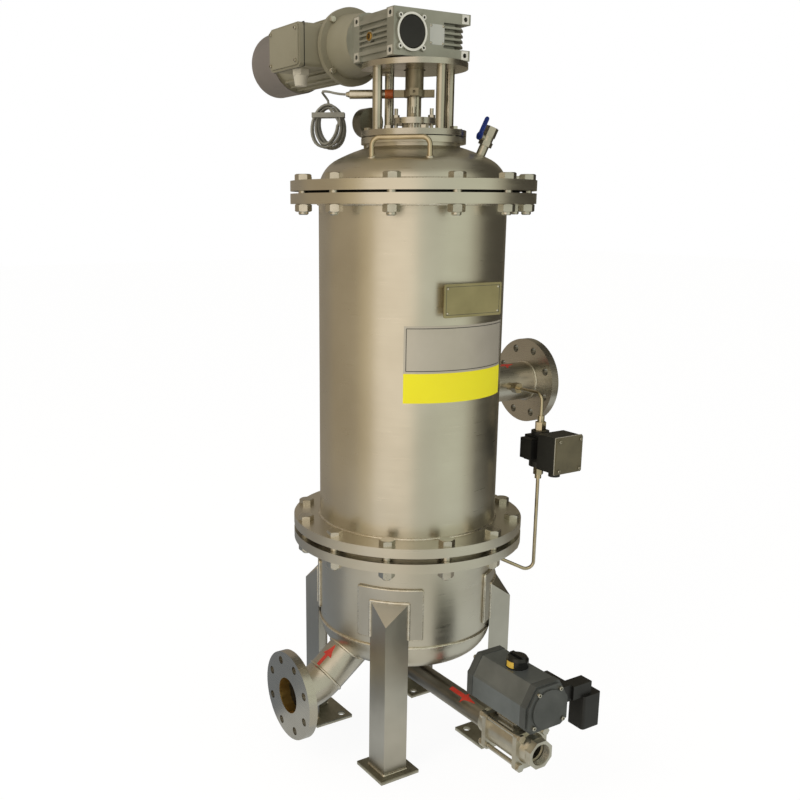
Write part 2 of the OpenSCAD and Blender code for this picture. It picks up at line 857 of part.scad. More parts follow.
// Worm gearbox with its cast housing
lug_w = 26;
lug_h = 20;
gear_edge = 3;
gear_cut = 24;
gear_recess = 7;
gear_rib = 4;
cap_ring_t = 5;
cap_sunk = 4;

// Plan of the housing, or of its core inside the fins where an inset is given
module gear_outline(inset = 0) {
    w = gear_l / 2 - inset;
    x = gear_out - inset;
    cut = gear_cut - inset * (2 - sqrt(2));
    polygon([[-gear_in, -w], [x - cut, -w], [x, -w + cut], [x, w - cut], [x - cut, w], [-gear_in, w]]);
}

module gearbox_housing() {
    color("#b4b3ab") difference() {
        union() {
            translate([0, 0, z_gear + gear_edge]) linear_extrude(gear_h - 2 * gear_edge) gear_outline();
            translate([0, 0, z_gear]) cylinder(d = 2 * gear_out - 64, h = gear_h);
            wheel_lugs();
            on_motor_axis(gear_l / 2 - 1) cylinder(d1 = adapter_d, d2 = bell_d, h = adapter_l + 1);
            on_worm_face(-1) cylinder(d = worm_cap_d + 10, h = cap_ring_t + 1);
            on_worm_face(-1) cap_bosses() cylinder(d = 13, h = cap_ring_t + 1);
        }
        translate([0, 0, z_gear - 1]) cylinder(d = journal_d + 2 * fit, h = journal_l + 2);
        on_worm_face(-cap_sunk) cylinder(d = worm_cap_d, h = cap_sunk + cap_ring_t + 1);
        on_worm_face(-cap_sunk) cap_bosses() cylinder(d = 5, h = cap_sunk + cap_ring_t + 1, $fn = 24);
        worm_face_recess();
        wheel_fins();
        lug_holes();
    }
}

// Face of the housing over the worm's end, away from the motor
module on_worm_face(lift) {
    translate([-worm_offset, -gear_l / 2 - lift, z_worm]) rotate([90, 0, 0]) children();
}

module cap_bosses() {
    for (i = [0 : 3]) rotate([0, 0, 45 + 90 * i]) translate([worm_cap_d / 2 + 8.5, 0, 0]) children();
}

// Square lugs on the wheel's side, past the housing's cut corners
module wheel_lugs() {
    for (y = [-gear_l / 2, gear_l / 2 - lug_w])
        for (z = [z_gear + gear_edge, z_gear + gear_h - gear_edge - lug_h])
            translate([gear_out - lug_w, y, z]) cube([lug_w, lug_w, lug_h]);
}

// Framed recess with ribs on the worm's side
module worm_face_recess() {
    w = gear_l - 2 * lug_w + 4;
    h = gear_h - 2 * lug_h - 4;
    pitch = h / 5;
    difference() {
        translate([-gear_in - 1, -w / 2, z_worm - h / 2]) cube([gear_recess + 1, w, h]);
        for (i = [1 : 4])
            translate([-gear_in, -w / 2, z_worm - h / 2 + i * pitch - gear_rib / 2])
                cube([gear_recess, w, gear_rib]);
        translate([-gear_in, 12, z_worm]) rotate([0, 90, 0]) cylinder(d = 22, h = gear_recess);
    }
    for (z = [z_gear + gear_edge, z_gear + gear_h - gear_edge - lug_h / 2])
        translate([-gear_in - 1, -gear_l / 2 + lug_w, z - 1])
            cube([gear_recess, gear_l - 2 * lug_w, lug_h / 2 + 2]);
}

// Gaps between the level fins round the wheel's side
module wheel_fins() {
    h = gear_h - 2 * lug_h - 2 * gear_edge;
    gaps = 5;
    pitch = (h + gear_rib) / gaps;
    for (i = [0 : gaps - 1])
        translate([0, 0, z_worm - h / 2 + i * pitch]) linear_extrude(pitch - gear_rib) difference() {
            translate([gear_out / 5, -gear_l]) square(2 * gear_l);
            gear_outline(2 * gear_recess);
        }
}

module lug_holes() {
    for (y = [-1, 1])
        for (z = [z_gear + gear_edge + lug_h / 2, z_gear + gear_h - gear_edge - lug_h / 2]) {
            translate([-gear_in - 1, y * (gear_l / 2 - lug_w / 2), z])
                rotate([0, 90, 0]) cylinder(d = 9, h = 18, $fn = 24);
            translate([gear_out - lug_w / 2, y * (gear_l / 2 + 1), z])
                rotate([90 * y, 0, 0]) cylinder(d = 9, h = 18, $fn = 24);
        }
}

module gearbox_cap() {
    color("#1d1d1c") on_worm_face(-cap_sunk) {
        cylinder(d = worm_cap_d, h = cap_sunk + cap_ring_t - 2);
        translate([0, 0, cap_sunk + cap_ring_t - 2.1]) cylinder(d1 = worm_cap_d, d2 = worm_cap_d - 4, h = 2);
    }
}

// Motor with its fan and terminal box
module on_motor_axis(y) {
    translate([-worm_offset, y, z_worm]) rotate([-90, 0, 0]) children();
}

module motor_frame() {
    fins = 18;
    color("#8a8775") difference() {
        union() {
            on_motor_axis(motor_y) cylinder(d = motor_flange_d, h = motor_flange_t);
            on_motor_axis(frame_y) cylinder(d = motor_d, h = motor_l);
            on_motor_axis(cowl_y - cowl_lap + 2) cylinder(d = cowl_d - 2 * cowl_t - 0.6, h = cowl_lap - 4);
            for (i = [0 : fins - 1]) on_motor_axis(frame_y)
                rotate([0, 0, -130 + i * 260 / (fins - 1)]) translate([motor_d / 2 - 2, -1.5, 6])
                    cube([7, 3, motor_l - 34]);
        }
        on_motor_axis(frame_y + motor_l - rotor_seat) cylinder(d = rotor_d + 2 * fit, h = rotor_seat + 1);
    }
}

module fan_cowl() {
    slots = 18;
    color("#6f6a66") on_motor_axis(cowl_y - cowl_lap) difference() {
        cylinder(d = cowl_d, h = cowl_l + cowl_lap);
        translate([0, 0, -1]) cylinder(d = cowl_d - 2 * cowl_t, h = cowl_l + cowl_lap + 1 - cowl_t);
        for (i = [0 : slots - 1]) rotate([0, 0, i * 360 / slots])
            translate([cowl_d * 0.18, -3, cowl_l]) cube([cowl_d * 0.22, 6, 40]);
    }
}

module motor_fan() {
    blades = 8;
    fan_z = rotor_seat + cowl_l * 0.15;
    fan_w = cowl_l * 0.37;
    color("#3b3b39") on_motor_axis(frame_y + motor_l - rotor_seat + run_gap) {
        cylinder(d = rotor_d, h = fan_z + fan_w);
        translate([0, 0, fan_z]) cylinder(d = cowl_d * 0.3, h = fan_w);
        translate([0, 0, fan_z]) cylinder(d = cowl_d * 0.8, h = 4);
        for (i = [0 : blades - 1]) rotate([0, 0, i * 360 / blades])
            translate([cowl_d * 0.1, -1.5, fan_z]) cube([cowl_d * 0.28, 3, fan_w]);
    }
}

box_y = motor_y + motor_flange_t + 2;
box_root = 0.36 * motor_d;
gland_x = -worm_offset - box_reach + 18;
gland_y = box_y + 48;

module terminal_box() {
    color("#8b8876") difference() {
        translate([-worm_offset - box_reach, box_y, z_worm])
            rotate([0, 90, 0]) linear_extrude(box_reach - box_root)
                translate([0, box_l / 2]) round_rect(box_h, box_l, 10);
        on_motor_axis(frame_y) cylinder(d = motor_d, h = motor_l);
        translate([gland_x, gland_y, z_worm - box_h]) cylinder(d = 20, h = box_h / 2 + 24);
    }
}

module terminal_cover() {
    x = -worm_offset - box_reach - box_cover_t;
    color("#96937f") translate([x, box_y, z_worm]) rotate([0, 90, 0]) translate([0, box_l / 2, 0]) {
        translate([0, 0, 4]) linear_extrude(box_cover_t - 4) round_rect(box_h, box_l, 10);
        linear_extrude(5) round_rect(box_h - 8, box_l - 8, 8);
    }
}

module cable_gland() {
    color("#c9c5b2") translate([gland_x, gland_y, z_worm - box_h / 2]) {
        translate([0, 0, -12]) hex_prism(34, 12);
        translate([0, 0, -34]) cylinder(d1 = 26, d2 = 33, h = 23);
        cylinder(d = 20, h = 16);
    }
}

// Proximity sensor beside the trigger cross
sensor_r0 = cross_reach + 2.5;
bracket_r = 74;

module on_sensor_axis(r) {
    rotate([0, 0, sensor_az]) translate([r, 0, z_sensor]) rotate([0, 90, 0]) children();
}

module sensor() {
    nut_af = sensor_d * 4 / 3;
    color("#c8c6bc") {
        on_sensor_axis(sensor_r0) cylinder(d = sensor_d, h = sensor_l);
        on_sensor_axis(bracket_r - 5) hex_prism(nut_af, 5);
        on_sensor_axis(bracket_r + 4) hex_prism(nut_af, 5);
        on_sensor_axis(sensor_r0 + sensor_l - 1) cylinder(d1 = sensor_d - 4, d2 = 8, h = 9);
    }
}

module sensor_bracket() {
    w = 34;
    color("#a9a390") difference() {
        rotate([0, 0, sensor_az]) {
            translate([bracket_r, -w / 2, z_sensor - 18]) cube([4, w, z_plate - z_sensor + 18]);
            translate([bracket_r - 24, -w / 2, z_plate - 4]) cube([28, w, 4]);
        }
        on_sensor_axis(bracket_r - 4) cylinder(d = sensor_d, h = 20);
    }
}

// Gauge on the lid, with its dial turned away from the drain
gauge_at = [-24, 140];
gauge_z = z_lid + gauge_rise;

module pressure_gauge() {
    color("#8f8d84") difference() {
        translate([gauge_at[0], gauge_at[1], 0]) {
            translate([0, -gauge_t / 2, gauge_z]) rotate([-90, 0, 0]) difference() {
                cylinder(d = gauge_d, h = gauge_t);
                translate([0, 0, gauge_t - 4]) cylinder(d = gauge_d - 8, h = 10);
            }
            translate([0, 0, gauge_z - gauge_d / 2 - 22]) hex_prism(17, 20);
            translate([0, 0, z_lid]) cylinder(d = 13, h = gauge_z - z_lid - gauge_d / 2 + 4);
            translate([0, 0, z_lid]) cylinder(d = 24, h = gauge_z - z_lid - gauge_d / 2 - 24);
        }
        lid_solid();
    }
}

// Vent valve on the lid's shoulder
vent_ball_z = 34;
vent_lever_l = 34;
vent_ball_d = 16;
vent_stem_d = 6;

module on_vent() {
    translate([0, 0, z_lid_tan + head_depth - crown_r])
        rotate([0, 0, vent_az]) rotate([0, vent_tilt, 0]) translate([0, 0, crown_r])
            rotate([0, 0, vent_turn]) children();
}

module vent_valve() {
    color("#b3afa3") difference() {
        on_vent() {
            translate([0, 0, -20]) cylinder(d = 20, h = 42);
            translate([0, 0, vent_ball_z - 14]) hex_prism(26, 10);
            translate([0, 0, vent_ball_z - 12]) cylinder(d = 24, h = 24);
            translate([0, 0, vent_ball_z + 6]) hex_prism(24, 20);
            translate([0, 0, vent_ball_z]) rotate([90, 0, 0]) cylinder(d = 14, h = 20);
        }
        on_vent() {
            translate([0, 0, -2 * vent_ball_z]) cylinder(d = vent_bore, h = 4 * vent_ball_z);
            translate([0, 0, vent_ball_z + 14]) cylinder(d = 15, h = 40);
            translate([0, 0, vent_ball_z]) sphere(d = vent_ball_d + 2 * run_gap);
            translate([0, 0, vent_ball_z]) rotate([90, 0, 0]) cylinder(d = vent_stem_d + 2 * fit, h = 40);
        }
        lid_solid();
    }
}

module vent_lever() {
    color("#2d5fa8") on_vent() translate([0, 0, vent_ball_z]) rotate([90, 0, 0]) {
        difference() {
            sphere(d = vent_ball_d);
            rotate([90, 0, 0]) translate([0, 0, -vent_ball_d]) cylinder(d = vent_bore, h = 2 * vent_ball_d);
        }
        translate([0, 0, vent_bore / 2 + 2]) cylinder(d = vent_stem_d, h = 22);
        translate([0, 0, 20.5]) linear_extrude(3) {
            circle(9);
            translate([-6, 0]) square([12, vent_lever_l]);
            translate([0, vent_lever_l]) circle(6);
        }
        translate([0, 0, 23.4]) hex_prism(8, 4);
    }
}

// Pressure switch with its two sensing tubes
module pressure_switch() {
    neck_w = 0.64 * switch_w;
    neck_h = switch_h - 22;
    color("#20211f") {
        translate([case_x - switch_w / 2, -switch_front, switch_z]) cube([switch_w, switch_d, switch_h]);
        translate([switch_x - neck_w / 2, -switch_rear - 0.1, switch_z + 8])
            cube([neck_w, switch_rear - switch_y + neck_w / 2, neck_h]);
        translate([switch_x - 0.56 * switch_w, -switch_y - 0.24 * switch_w, switch_z + 0.2 * switch_h])
            cube([0.5 * switch_w, 0.48 * switch_w, 0.58 * switch_h]);
        translate([switch_x, -switch_y, switch_z - 6]) cylinder(d = 0.59 * switch_w, h = 15);
        translate([switch_x, -switch_y, switch_z + switch_h - 15]) cylinder(d = 0.54 * switch_w, h = 11);
        translate([case_x - 0.2 * switch_w, -switch_front + 0.4 * switch_d, switch_z - 12])
            cylinder(d = 0.34 * switch_w, h = 13);
    }
}

module switch_cover() {
    color("#6f6a52") translate([case_x, -switch_front, switch_z + switch_h / 2]) rotate([90, 0, 0])
        linear_extrude(6) round_rect(switch_w + 2, switch_h + 2, 4);
}

tap_y = pipe_od / 2;
high_fit_z = switch_z + switch_h - 4;
low_fit_z = switch_z - 6;
tube_bend_r = 18;
tap_angle = atan2(-switch_y, switch_x);
tap_run = sqrt(pow(switch_x, 2) + pow(switch_y, 2));
tap_rise = 24;

module switch_tubes() {
    color("#c4bda9") difference() {
        union() {
            translate([switch_x, 0, outlet_z]) rotate([90, 0, 0]) {
                cylinder(d = 18, h = tap_y + 18);
                translate([0, 0, tap_y + 17]) hex_prism(22, 16);
                translate([0, 0, tap_y + 30]) cylinder(d = tube_d, h = switch_y - tube_bend_r - tap_y - 30);
            }
            translate([switch_x, -switch_y + tube_bend_r, outlet_z - tube_bend_r]) rotate([0, 0, 90])
                rotate([90, 0, 0]) rotate([0, 0, 90])
                    rotate_extrude(angle = 90) translate([tube_bend_r, 0]) circle(d = tube_d);
            translate([switch_x, -switch_y, high_fit_z + 20])
                cylinder(d = tube_d, h = outlet_z - tube_bend_r - high_fit_z - 20);
            translate([switch_x, -switch_y, high_fit_z]) cylinder(d = 16, h = 34);
            translate([switch_x, -switch_y, high_fit_z]) hex_prism(22, 20);
        }
        translate([0, 0, outlet_z]) rotate([0, 90, 0]) cylinder(d = pipe_od, h = outlet_reach);
    }
    color("#c4bda9") translate([switch_x, -switch_y, 0]) rotate([0, 0, tap_angle + 180]) low_tube();
    color("#c4bda9") difference() {
        translate([switch_x, -switch_y, low_bend_z + tube_bend_r])
            rotate([0, 0, tap_angle + 180]) low_tube_end();
        chamber_solid();
    }
}

// Upright stretch of the lower tube with its fitting and bend
module low_tube() {
    translate([0, 0, low_fit_z - 20]) hex_prism(20, 20);
    translate([0, 0, low_fit_z - 30]) cylinder(d = 15, h = 20);
    translate([0, 0, low_bend_z + tube_bend_r])
        cylinder(d = tube_d, h = low_fit_z - 28 - low_bend_z - tube_bend_r);
    translate([tube_bend_r, 0, low_bend_z + tube_bend_r]) rotate([90, 0, 0]) rotate([0, 0, 180])
        rotate_extrude(angle = 90 + tap_rise) translate([tube_bend_r, 0]) circle(d = tube_d);
}

// Sloped end of the lower tube, up into the chamber's wall
module low_tube_end() {
    translate([tube_bend_r * (1 + sin(tap_rise)), 0, -tube_bend_r * cos(tap_rise)])
        rotate([0, 90 - tap_rise, 0]) translate([0, 0, weld_gap])
            cylinder(d = tube_d, h = tap_run - shell_r + 20);
}

// Three-piece drain valve, its bolts, ball and stem
module on_drain_axis(y) {
    translate([0, -y, drain_z]) rotate([90, 0, 0]) children();
}

module valve_lug(d) {
    linear_extrude(valve_lug_t) {
        circle(d = d);
        round_rect(valve_bolt_s + 18, valve_bolt_s + 18, 9);
    }
}

module valve_body() {
    pad = 46;
    yoke_l = 60;
    color("#a5a193") difference() {
        union() {
            on_drain_axis(valve_far) cylinder(d = valve_mid_d, h = valve_mid_l);
            on_drain_axis(valve_far - valve_lug_t) valve_lug(valve_mid_d);
            on_drain_axis(valve_near) valve_lug(valve_mid_d);
            on_drain_axis(pipe_end_y)
                cylinder(d1 = drain_od + 8, d2 = valve_mid_d - 6, h = valve_end_l + 0.1);
            on_drain_axis(valve_near + valve_lug_t - 0.1)
                cylinder(d1 = valve_mid_d - 4, d2 = valve_end_af + 2, h = valve_end_l - 14);
            on_drain_axis(mouth_y - 18) rotate([0, 0, 22.5])
                cylinder(d = valve_end_af / cos(22.5), h = 18, $fn = 8);
            translate([-pad / 2, -valve_y - pad / 2, drain_z]) cube([pad, pad, pad]);
            for (x = [-1, 1]) translate([x * 17 - 4, -valve_y - yoke_l / 2, drain_z + pad - 2])
                cube([8, yoke_l, act_z - drain_z - pad + 2]);
            translate([-pad / 2, -valve_y - yoke_l / 2, act_z - 7]) cube([pad, yoke_l, 7]);
        }
        on_drain_axis(pipe_end_y - 1) cylinder(d = drain_id, h = valve_end_l + 2);
        on_drain_axis(pipe_end_y) cylinder(d = valve_bore, h = mouth_y - pipe_end_y + 1);
        on_drain_axis(mouth_y - 22) cylinder(d = mouth_d, h = 30);
        translate([0, -valve_y, drain_z]) sphere(d = ball_d + 2 * run_gap);
        translate([0, -valve_y, drain_z]) cylinder(d = stem_d + 2 * fit, h = act_z);
        valve_bolt_places() on_drain_axis(valve_far - 40)
            cylinder(d = valve_bolt_d + 1, h = valve_mid_l + 80);
    }
}

module valve_bolt_places() {
    for (x = [-1, 1]) for (z = [-1, 1])
        translate([x * valve_bolt_s / 2, 0, z * valve_bolt_s / 2]) children();
}

module valve_bolts() {
    color("#c8c6bd") valve_bolt_places() on_drain_axis(0) {
        translate([0, 0, valve_far - valve_lug_t - 14])
            cylinder(d = valve_bolt_d, h = valve_mid_l + 2 * valve_lug_t + 15);
        translate([0, 0, valve_far - valve_lug_t - 9]) hex_prism(16, 9);
        translate([0, 0, valve_near + valve_lug_t]) hex_prism(16, 7);
    }
}

module valve_ball() {
    color("#d2d2cd") {
        translate([0, -valve_y, drain_z]) difference() {
            sphere(d = ball_d);
            rotate([0, 90, 0]) translate([0, 0, -ball_d]) cylinder(d = valve_bore, h = 2 * ball_d);
        }
        translate([0, -valve_y, drain_z + valve_bore / 2 + 2])
            cylinder(d = stem_d, h = stem_top_z - drain_z - valve_bore / 2 + 4);
    }
    color("#161615") translate([0, -valve_y, stem_top_z + run_gap]) {
        cylinder(d = indicator_d, h = indicator_h - 6);
        translate([0, 0, indicator_h - 6.1]) cylinder(d1 = indicator_d, d2 = indicator_d - 8, h = 6);
    }
}

// Rack and pinion actuator over the drain valve
module actuator_outline(grow = 0) {
    w = act_w / 2 + grow;
    foot = w - 0.15 * act_w;
    side = 0.14 * act_h;
    shoulder = 0.6 * act_h;
    slope = w - 0.17 * act_w;
    roof = w - 0.23 * act_w;
    polygon([
        [-foot, -grow], [foot, -grow], [w, side], [w, shoulder], [w - 4, shoulder + 4],
        [slope, 0.9 * act_h], [roof, act_h + grow], [-roof, act_h + grow], [-slope, 0.9 * act_h],
        [-w + 4, shoulder + 4], [-w, shoulder], [-w, side]
    ]);
}

module actuator() {
    color("#4d4f4e") difference() {
        translate([0, -valve_y + act_l / 2, act_z]) rotate([90, 0, 0])
            linear_extrude(act_l) actuator_outline();
        translate([0, -valve_y, act_z - 1]) cylinder(d = stem_d + 2 * fit, h = act_h + 2);
    }
}

module actuator_caps() {
    lip = 5;
    color("#3a3c3c") for (s = [-1, 1])
        translate([0, -valve_y + s * act_l / 2, act_z]) rotate([0, 0, s > 0 ? 180 : 0]) rotate([90, 0, 0]) {
            linear_extrude(act_cap_t - lip) actuator_outline(1);
            translate([0, 0, act_cap_t - lip - 0.1]) linear_extrude(lip + 0.1) actuator_outline(-3);
            translate([0, 0.47 * act_h, act_cap_t - 0.1]) cylinder(d = 0.76 * act_w, h = 3);
        }
}

// Pilot valve on the actuator's side, its coil and the plug that hangs from it
module solenoid_valve() {
    x = act_w / 2;
    y = -valve_y - 0.43 * act_l;
    z = act_z + 0.3 * act_h;
    step = (pilot_w - coil_w) / 2;
    color("#1b1b1b") {
        translate([x, -valve_y - act_l / 2 + 1, z]) cube([coil_w, 2 * pilot_w, pilot_w]);
        translate([x + coil_w - 0.1, y - coil_w / 2, z + step]) cube([coil_l, coil_w, coil_w]);
        translate([x + coil_w + plug_w, y, z + 2 * step - plug_h])
            linear_extrude(plug_h) round_rect(plug_w, plug_d, plug_w / 8);
    }
}

// Sensor cable: a tube swept along its route, and its hank
function unit(v) = v / norm(v);
function along(i) = unit(CABLE_ROUTE[min(i + 1, len(CABLE_ROUTE) - 1)] - CABLE_ROUTE[max(i - 1, 0)]);
function across(t) = unit(cross(t, [0, 0, 1]));
function cable_ring(i) = let (t = along(i), a = across(t), b = cross(t, a))
    [for (k = [0 : CABLE_SIDES - 1]) CABLE_ROUTE[i]
        + CABLE_D / 2 * (cos(k * 360 / CABLE_SIDES) * a + sin(k * 360 / CABLE_SIDES) * b)];

module sensor_cable() {
    n = len(CABLE_ROUTE);
    s = CABLE_SIDES;
    points = [for (i = [0 : n - 1]) each cable_ring(i)];
    sides = [for (i = [0 : n - 2]) for (k = [0 : s - 1])
        [i * s + k, i * s + (k + 1) % s, (i + 1) * s + (k + 1) % s, (i + 1) * s + k]];
    first = [for (k = [0 : s - 1]) s - 1 - k];
    last = [for (k = [0 : s - 1]) (n - 1) * s + k];
    color("#8d8d86") polyhedron(points, concat(sides, [first], [last]));
}

module cable_hank() {
    color("#8d8d86") translate(HANK_AT) rotate([0, 0, HANK_TURN]) rotate([90, 0, 0])
        translate([0, 0, -HANK_T / 2]) linear_extrude(HANK_T) {
            for (s = [-1, 1]) translate([0, s * (HANK_L - HANK_W) / 2]) circle(d = HANK_W);
            square([HANK_W, HANK_L - HANK_W], center = true);
        }
}

// Strap round the hank
module cable_tie() {
    color("#e6e5df") translate(HANK_AT) rotate([0, 0, HANK_TURN]) translate([0, 0, TIE_Z - TIE_W / 2])
        linear_extrude(TIE_W) difference() {
            square([HANK_W + 2 * TIE_T, HANK_T + 2 * TIE_T], center = true);
            square([HANK_W, HANK_T], center = true);
        }
}

lower_chamber();
inlet_nozzle();
inlet_flange();
drain_pipe();
leg_front();
leg_left();
leg_right();
leg_back();
leg_pads();
foot_plates();
body_shell();
outlet_nozzle();
outlet_flange();
name_plate();
gaskets();
screen_ring();
lower_bearing();
filter_screen();
screen_rods();
screen_top_ring();
lower_flange_bolts();
upper_flange_bolts();
lid();
lid_handles();
neck_bolts();
base_plate();
packing_rings();
gland_follower();
gland_studs();
columns();
motor_plate();
scraper_shaft();
scraper_arms();
scraper_blades();
trigger_cross();
gearbox_housing();
gearbox_cap();
motor_frame();
fan_cowl();
motor_fan();
terminal_box();
terminal_cover();
cable_gland();
sensor();
sensor_bracket();
pressure_gauge();
vent_valve();
vent_lever();
pressure_switch();
switch_cover();
switch_tubes();
valve_body();
valve_bolts();
valve_ball();
actuator();
actuator_caps();
solenoid_valve();
sensor_cable();
cable_hank();
cable_tie();
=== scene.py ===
# %% [markdown]
# # A self cleaning filter
#
# A motor turns a scraper inside a screen, in a flanged stainless vessel on four legs. The packed
# model already holds every rigid piece at its real size and place. This script gives each piece
# its finish, and adds what is too fine for the solids: weld beads, bolts with chamfers, screws,
# plates, paint marks, and the sensor's cable at its real length.

import math

import bmesh
import bpy
from mathutils import Matrix, Vector


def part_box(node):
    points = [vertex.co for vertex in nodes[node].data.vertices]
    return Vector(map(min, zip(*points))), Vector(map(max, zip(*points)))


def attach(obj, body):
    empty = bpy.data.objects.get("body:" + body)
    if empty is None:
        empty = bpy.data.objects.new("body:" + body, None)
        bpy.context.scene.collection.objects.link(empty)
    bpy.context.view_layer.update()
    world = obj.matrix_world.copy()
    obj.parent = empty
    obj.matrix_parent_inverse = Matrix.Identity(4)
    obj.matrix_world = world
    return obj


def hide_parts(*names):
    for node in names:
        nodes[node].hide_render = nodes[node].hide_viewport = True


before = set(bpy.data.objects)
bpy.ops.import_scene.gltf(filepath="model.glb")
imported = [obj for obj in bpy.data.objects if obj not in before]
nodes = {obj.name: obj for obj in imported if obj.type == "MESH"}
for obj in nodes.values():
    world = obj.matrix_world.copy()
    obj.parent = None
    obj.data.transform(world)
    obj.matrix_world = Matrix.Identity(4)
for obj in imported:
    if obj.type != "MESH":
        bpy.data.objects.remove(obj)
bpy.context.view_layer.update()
scene = bpy.context.scene
MM = 0.001

# %% [markdown]
# ## The camera
# The photograph was matched to the flanges and legs, which have standard sizes. That gives the
# camera's place, its direction and its focal length in pixels. The picture was cropped off centre,
# so the lens is shifted instead of turned: turning it would change the perspective.

# %% Camera
PHOTO_PX = 800
FOCAL_PX = 955.7
AXIS_PX = (340, 450)
SENSOR_MM = 36
CAMERA_AT = Vector((-1.2280, -1.7205, 1.2264))
LOOK = Vector((0.5040, 0.8280, -0.2457))

lens = bpy.data.cameras.new("photo_camera")
lens.sensor_width = SENSOR_MM
lens.lens = FOCAL_PX * SENSOR_MM / PHOTO_PX
lens.shift_x = (PHOTO_PX / 2 - AXIS_PX[0]) / PHOTO_PX
lens.shift_y = (AXIS_PX[1] - PHOTO_PX / 2) / PHOTO_PX
camera = bpy.data.objects.new("photo_camera", lens)
camera.location = CAMERA_AT
camera.rotation_euler = LOOK.to_track_quat("-Z", "Y").to_euler()
scene.collection.objects.link(camera)
scene.camera = camera
print("camera: lens", round(lens.lens, 2), "mm")

# %% [markdown]
# ## The sensor's cable
# A proximity sensor counts the shaft's turns. Its limp grey lead leaves the sensor's tail, bends
# over and ends in a hank under a strap. One open spline makes the whole lead: the points up to the
# hank are listed, and a loop winds the turns, so that no two strands share a place. Each
# turn has a ring (inner or outer) and a layer, and it changes to the next one at the bottom.

# %% Cable route
CABLE_D = 5
CABLE_ROUTE = [
    (-116, 84, 1456), (-125, 91, 1457), (-134, 99, 1459), (-140, 109, 1462), (-143, 121, 1464),
    (-142, 133, 1465), (-137, 144, 1464), (-129, 152, 1461), (-121, 156, 1456), (-116, 156, 1450),
    (-115, 156, 1444.6),
]
HANK_AT = Vector((-115, 156, 1398))
HANK_W = 66
HANK_L = 92
HANK_TURN = math.radians(-36)
STRAND_GAP = 5.7
FAN = math.tan(math.radians(3))
TURN_STEPS = 28
TURN_SEATS = [(1, -2), (1, -1), (1, 1), (1, 2), (0, 2), (0, 1), (0, -1), (0, -2)]
TURNS = len(TURN_SEATS) - 1
LEAD_STEPS = 8
CHANGE_HALF = 40
CHANGE_LIFT = 0.6
LOW_SAG = 2.5
LOW_SPREAD = 0.25


def ease(t):
    """A share from 0 to 1 that starts and ends softly."""
    t = min(max(t, 0.0), 1.0)
    return t * t * (3 - 2 * t)


def in_hank(x, depth, z):
    """A place in the hank's own directions, as a place in the model."""
    c, s = math.cos(HANK_TURN), math.sin(HANK_TURN)
    return HANK_AT + Vector((c * x - s * depth, s * x + c * depth, z))


def seat_at(angle):
    """Ring and layer of the strand at an angle that counts on through all the turns."""
    ring, layer = TURN_SEATS[0]
    for k, (old, new) in enumerate(zip(TURN_SEATS, TURN_SEATS[1:])):
        share = ease((angle - 180 - 360 * k + CHANGE_HALF) / (2 * CHANGE_HALF))
        ring += (new[0] - old[0]) * share
        layer += (new[1] - old[1]) * share
        if old[0] != new[0]:
            layer += CHANGE_LIFT * math.sin(math.pi * share)
    return ring, layer


def hank_strand():
    """Points of the lead's way down into the hank, and then of all its turns."""
    points = []
    lead_w = HANK_W / 2 - CABLE_D / 2 - STRAND_GAP
    for i in range(1, LEAD_STEPS):
        u = i / LEAD_STEPS
        points.append(in_hank(lead_w * ease(u), -2 * STRAND_GAP * ease(1.7 * u), HANK_L / 2 * (1 - u)))
    for i in range(TURNS * TURN_STEPS + 1):
        angle = 90 + 360 * i / TURN_STEPS
        a = math.radians(angle)
        ring, layer = seat_at(angle)
        low = (1 - math.cos(a)) / 2
        half_w = HANK_W / 2 - CABLE_D / 2 - ring * STRAND_GAP
        half_l = HANK_L / 2 - CABLE_D / 2 - ring * STRAND_GAP
        sag = LOW_SAG * low * (1 - ring) * (1 + math.sin(0.9 * a))
        depth = layer * STRAND_GAP * (1 + LOW_SPREAD * low)
        z = half_l * math.cos(a) - sag
        points.append(in_hank(half_w * math.sin(a) + layer * FAN * (HANK_L / 2 - z), depth, z))
    return points


cable_points = [Vector(p) * MM for p in CABLE_ROUTE] + [p * MM for p in hank_strand()]
print("hank:", TURNS, "turns,", len(cable_points), "points")

# %% [markdown]
# The points become one curve with a round bevel.

# %% Cable as one curve
cable_curve = bpy.data.curves.new("sensor_lead", "CURVE")
cable_curve.dimensions = "3D"
cable_curve.bevel_depth = 1.0
cable_curve.bevel_resolution = 3
cable_curve.use_fill_caps = True
spline = cable_curve.splines.new("POLY")
spline.points.add(len(cable_points) - 1)
for spot, point in zip(spline.points, cable_points):
    spot.co = (*point, 1.0)
    spot.radius = CABLE_D / 2 * MM
cable = bpy.data.objects.new("sensor_lead", cable_curve)
scene.collection.objects.link(cable)
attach(cable, "vessel")
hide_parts("sensor_cable", "cable_hank")

# %% [markdown]
# ## Colours and shader nodes
# A colour is written as the sRGB hex value that the eye would pick, and one function turns it into
# the linear numbers that the renderer works with. A second small function adds a node with its
# settings, its fixed values and its links, so that a material reads as a short list.

# %% Colour and node helpers
def linear(colour):
    """The linear colour of an sRGB hex value, with full opacity."""
    parts = [int(colour[i:i + 2], 16) / 255 for i in (1, 3, 5)]
    return tuple(p / 12.92 if p <= 0.04045 else ((p + 0.055) / 1.055) ** 2.4 for p in parts) + (1.0,)


def add(tree, kind, values=None, links=None, **settings):
    """A new node with its settings, the fixed values of its sockets and the links into them."""
    node = tree.nodes.new(kind)
    for name, value in settings.items():
        setattr(node, name, value)
    for socket, value in (values or {}).items():
        node.inputs[socket].default_value = value
    for socket, source in (links or {}).items():
        tree.links.new(source, node.inputs[socket])
    return node


print("linear mid grey:", [round(c, 3) for c in linear("#808080")[:3]])

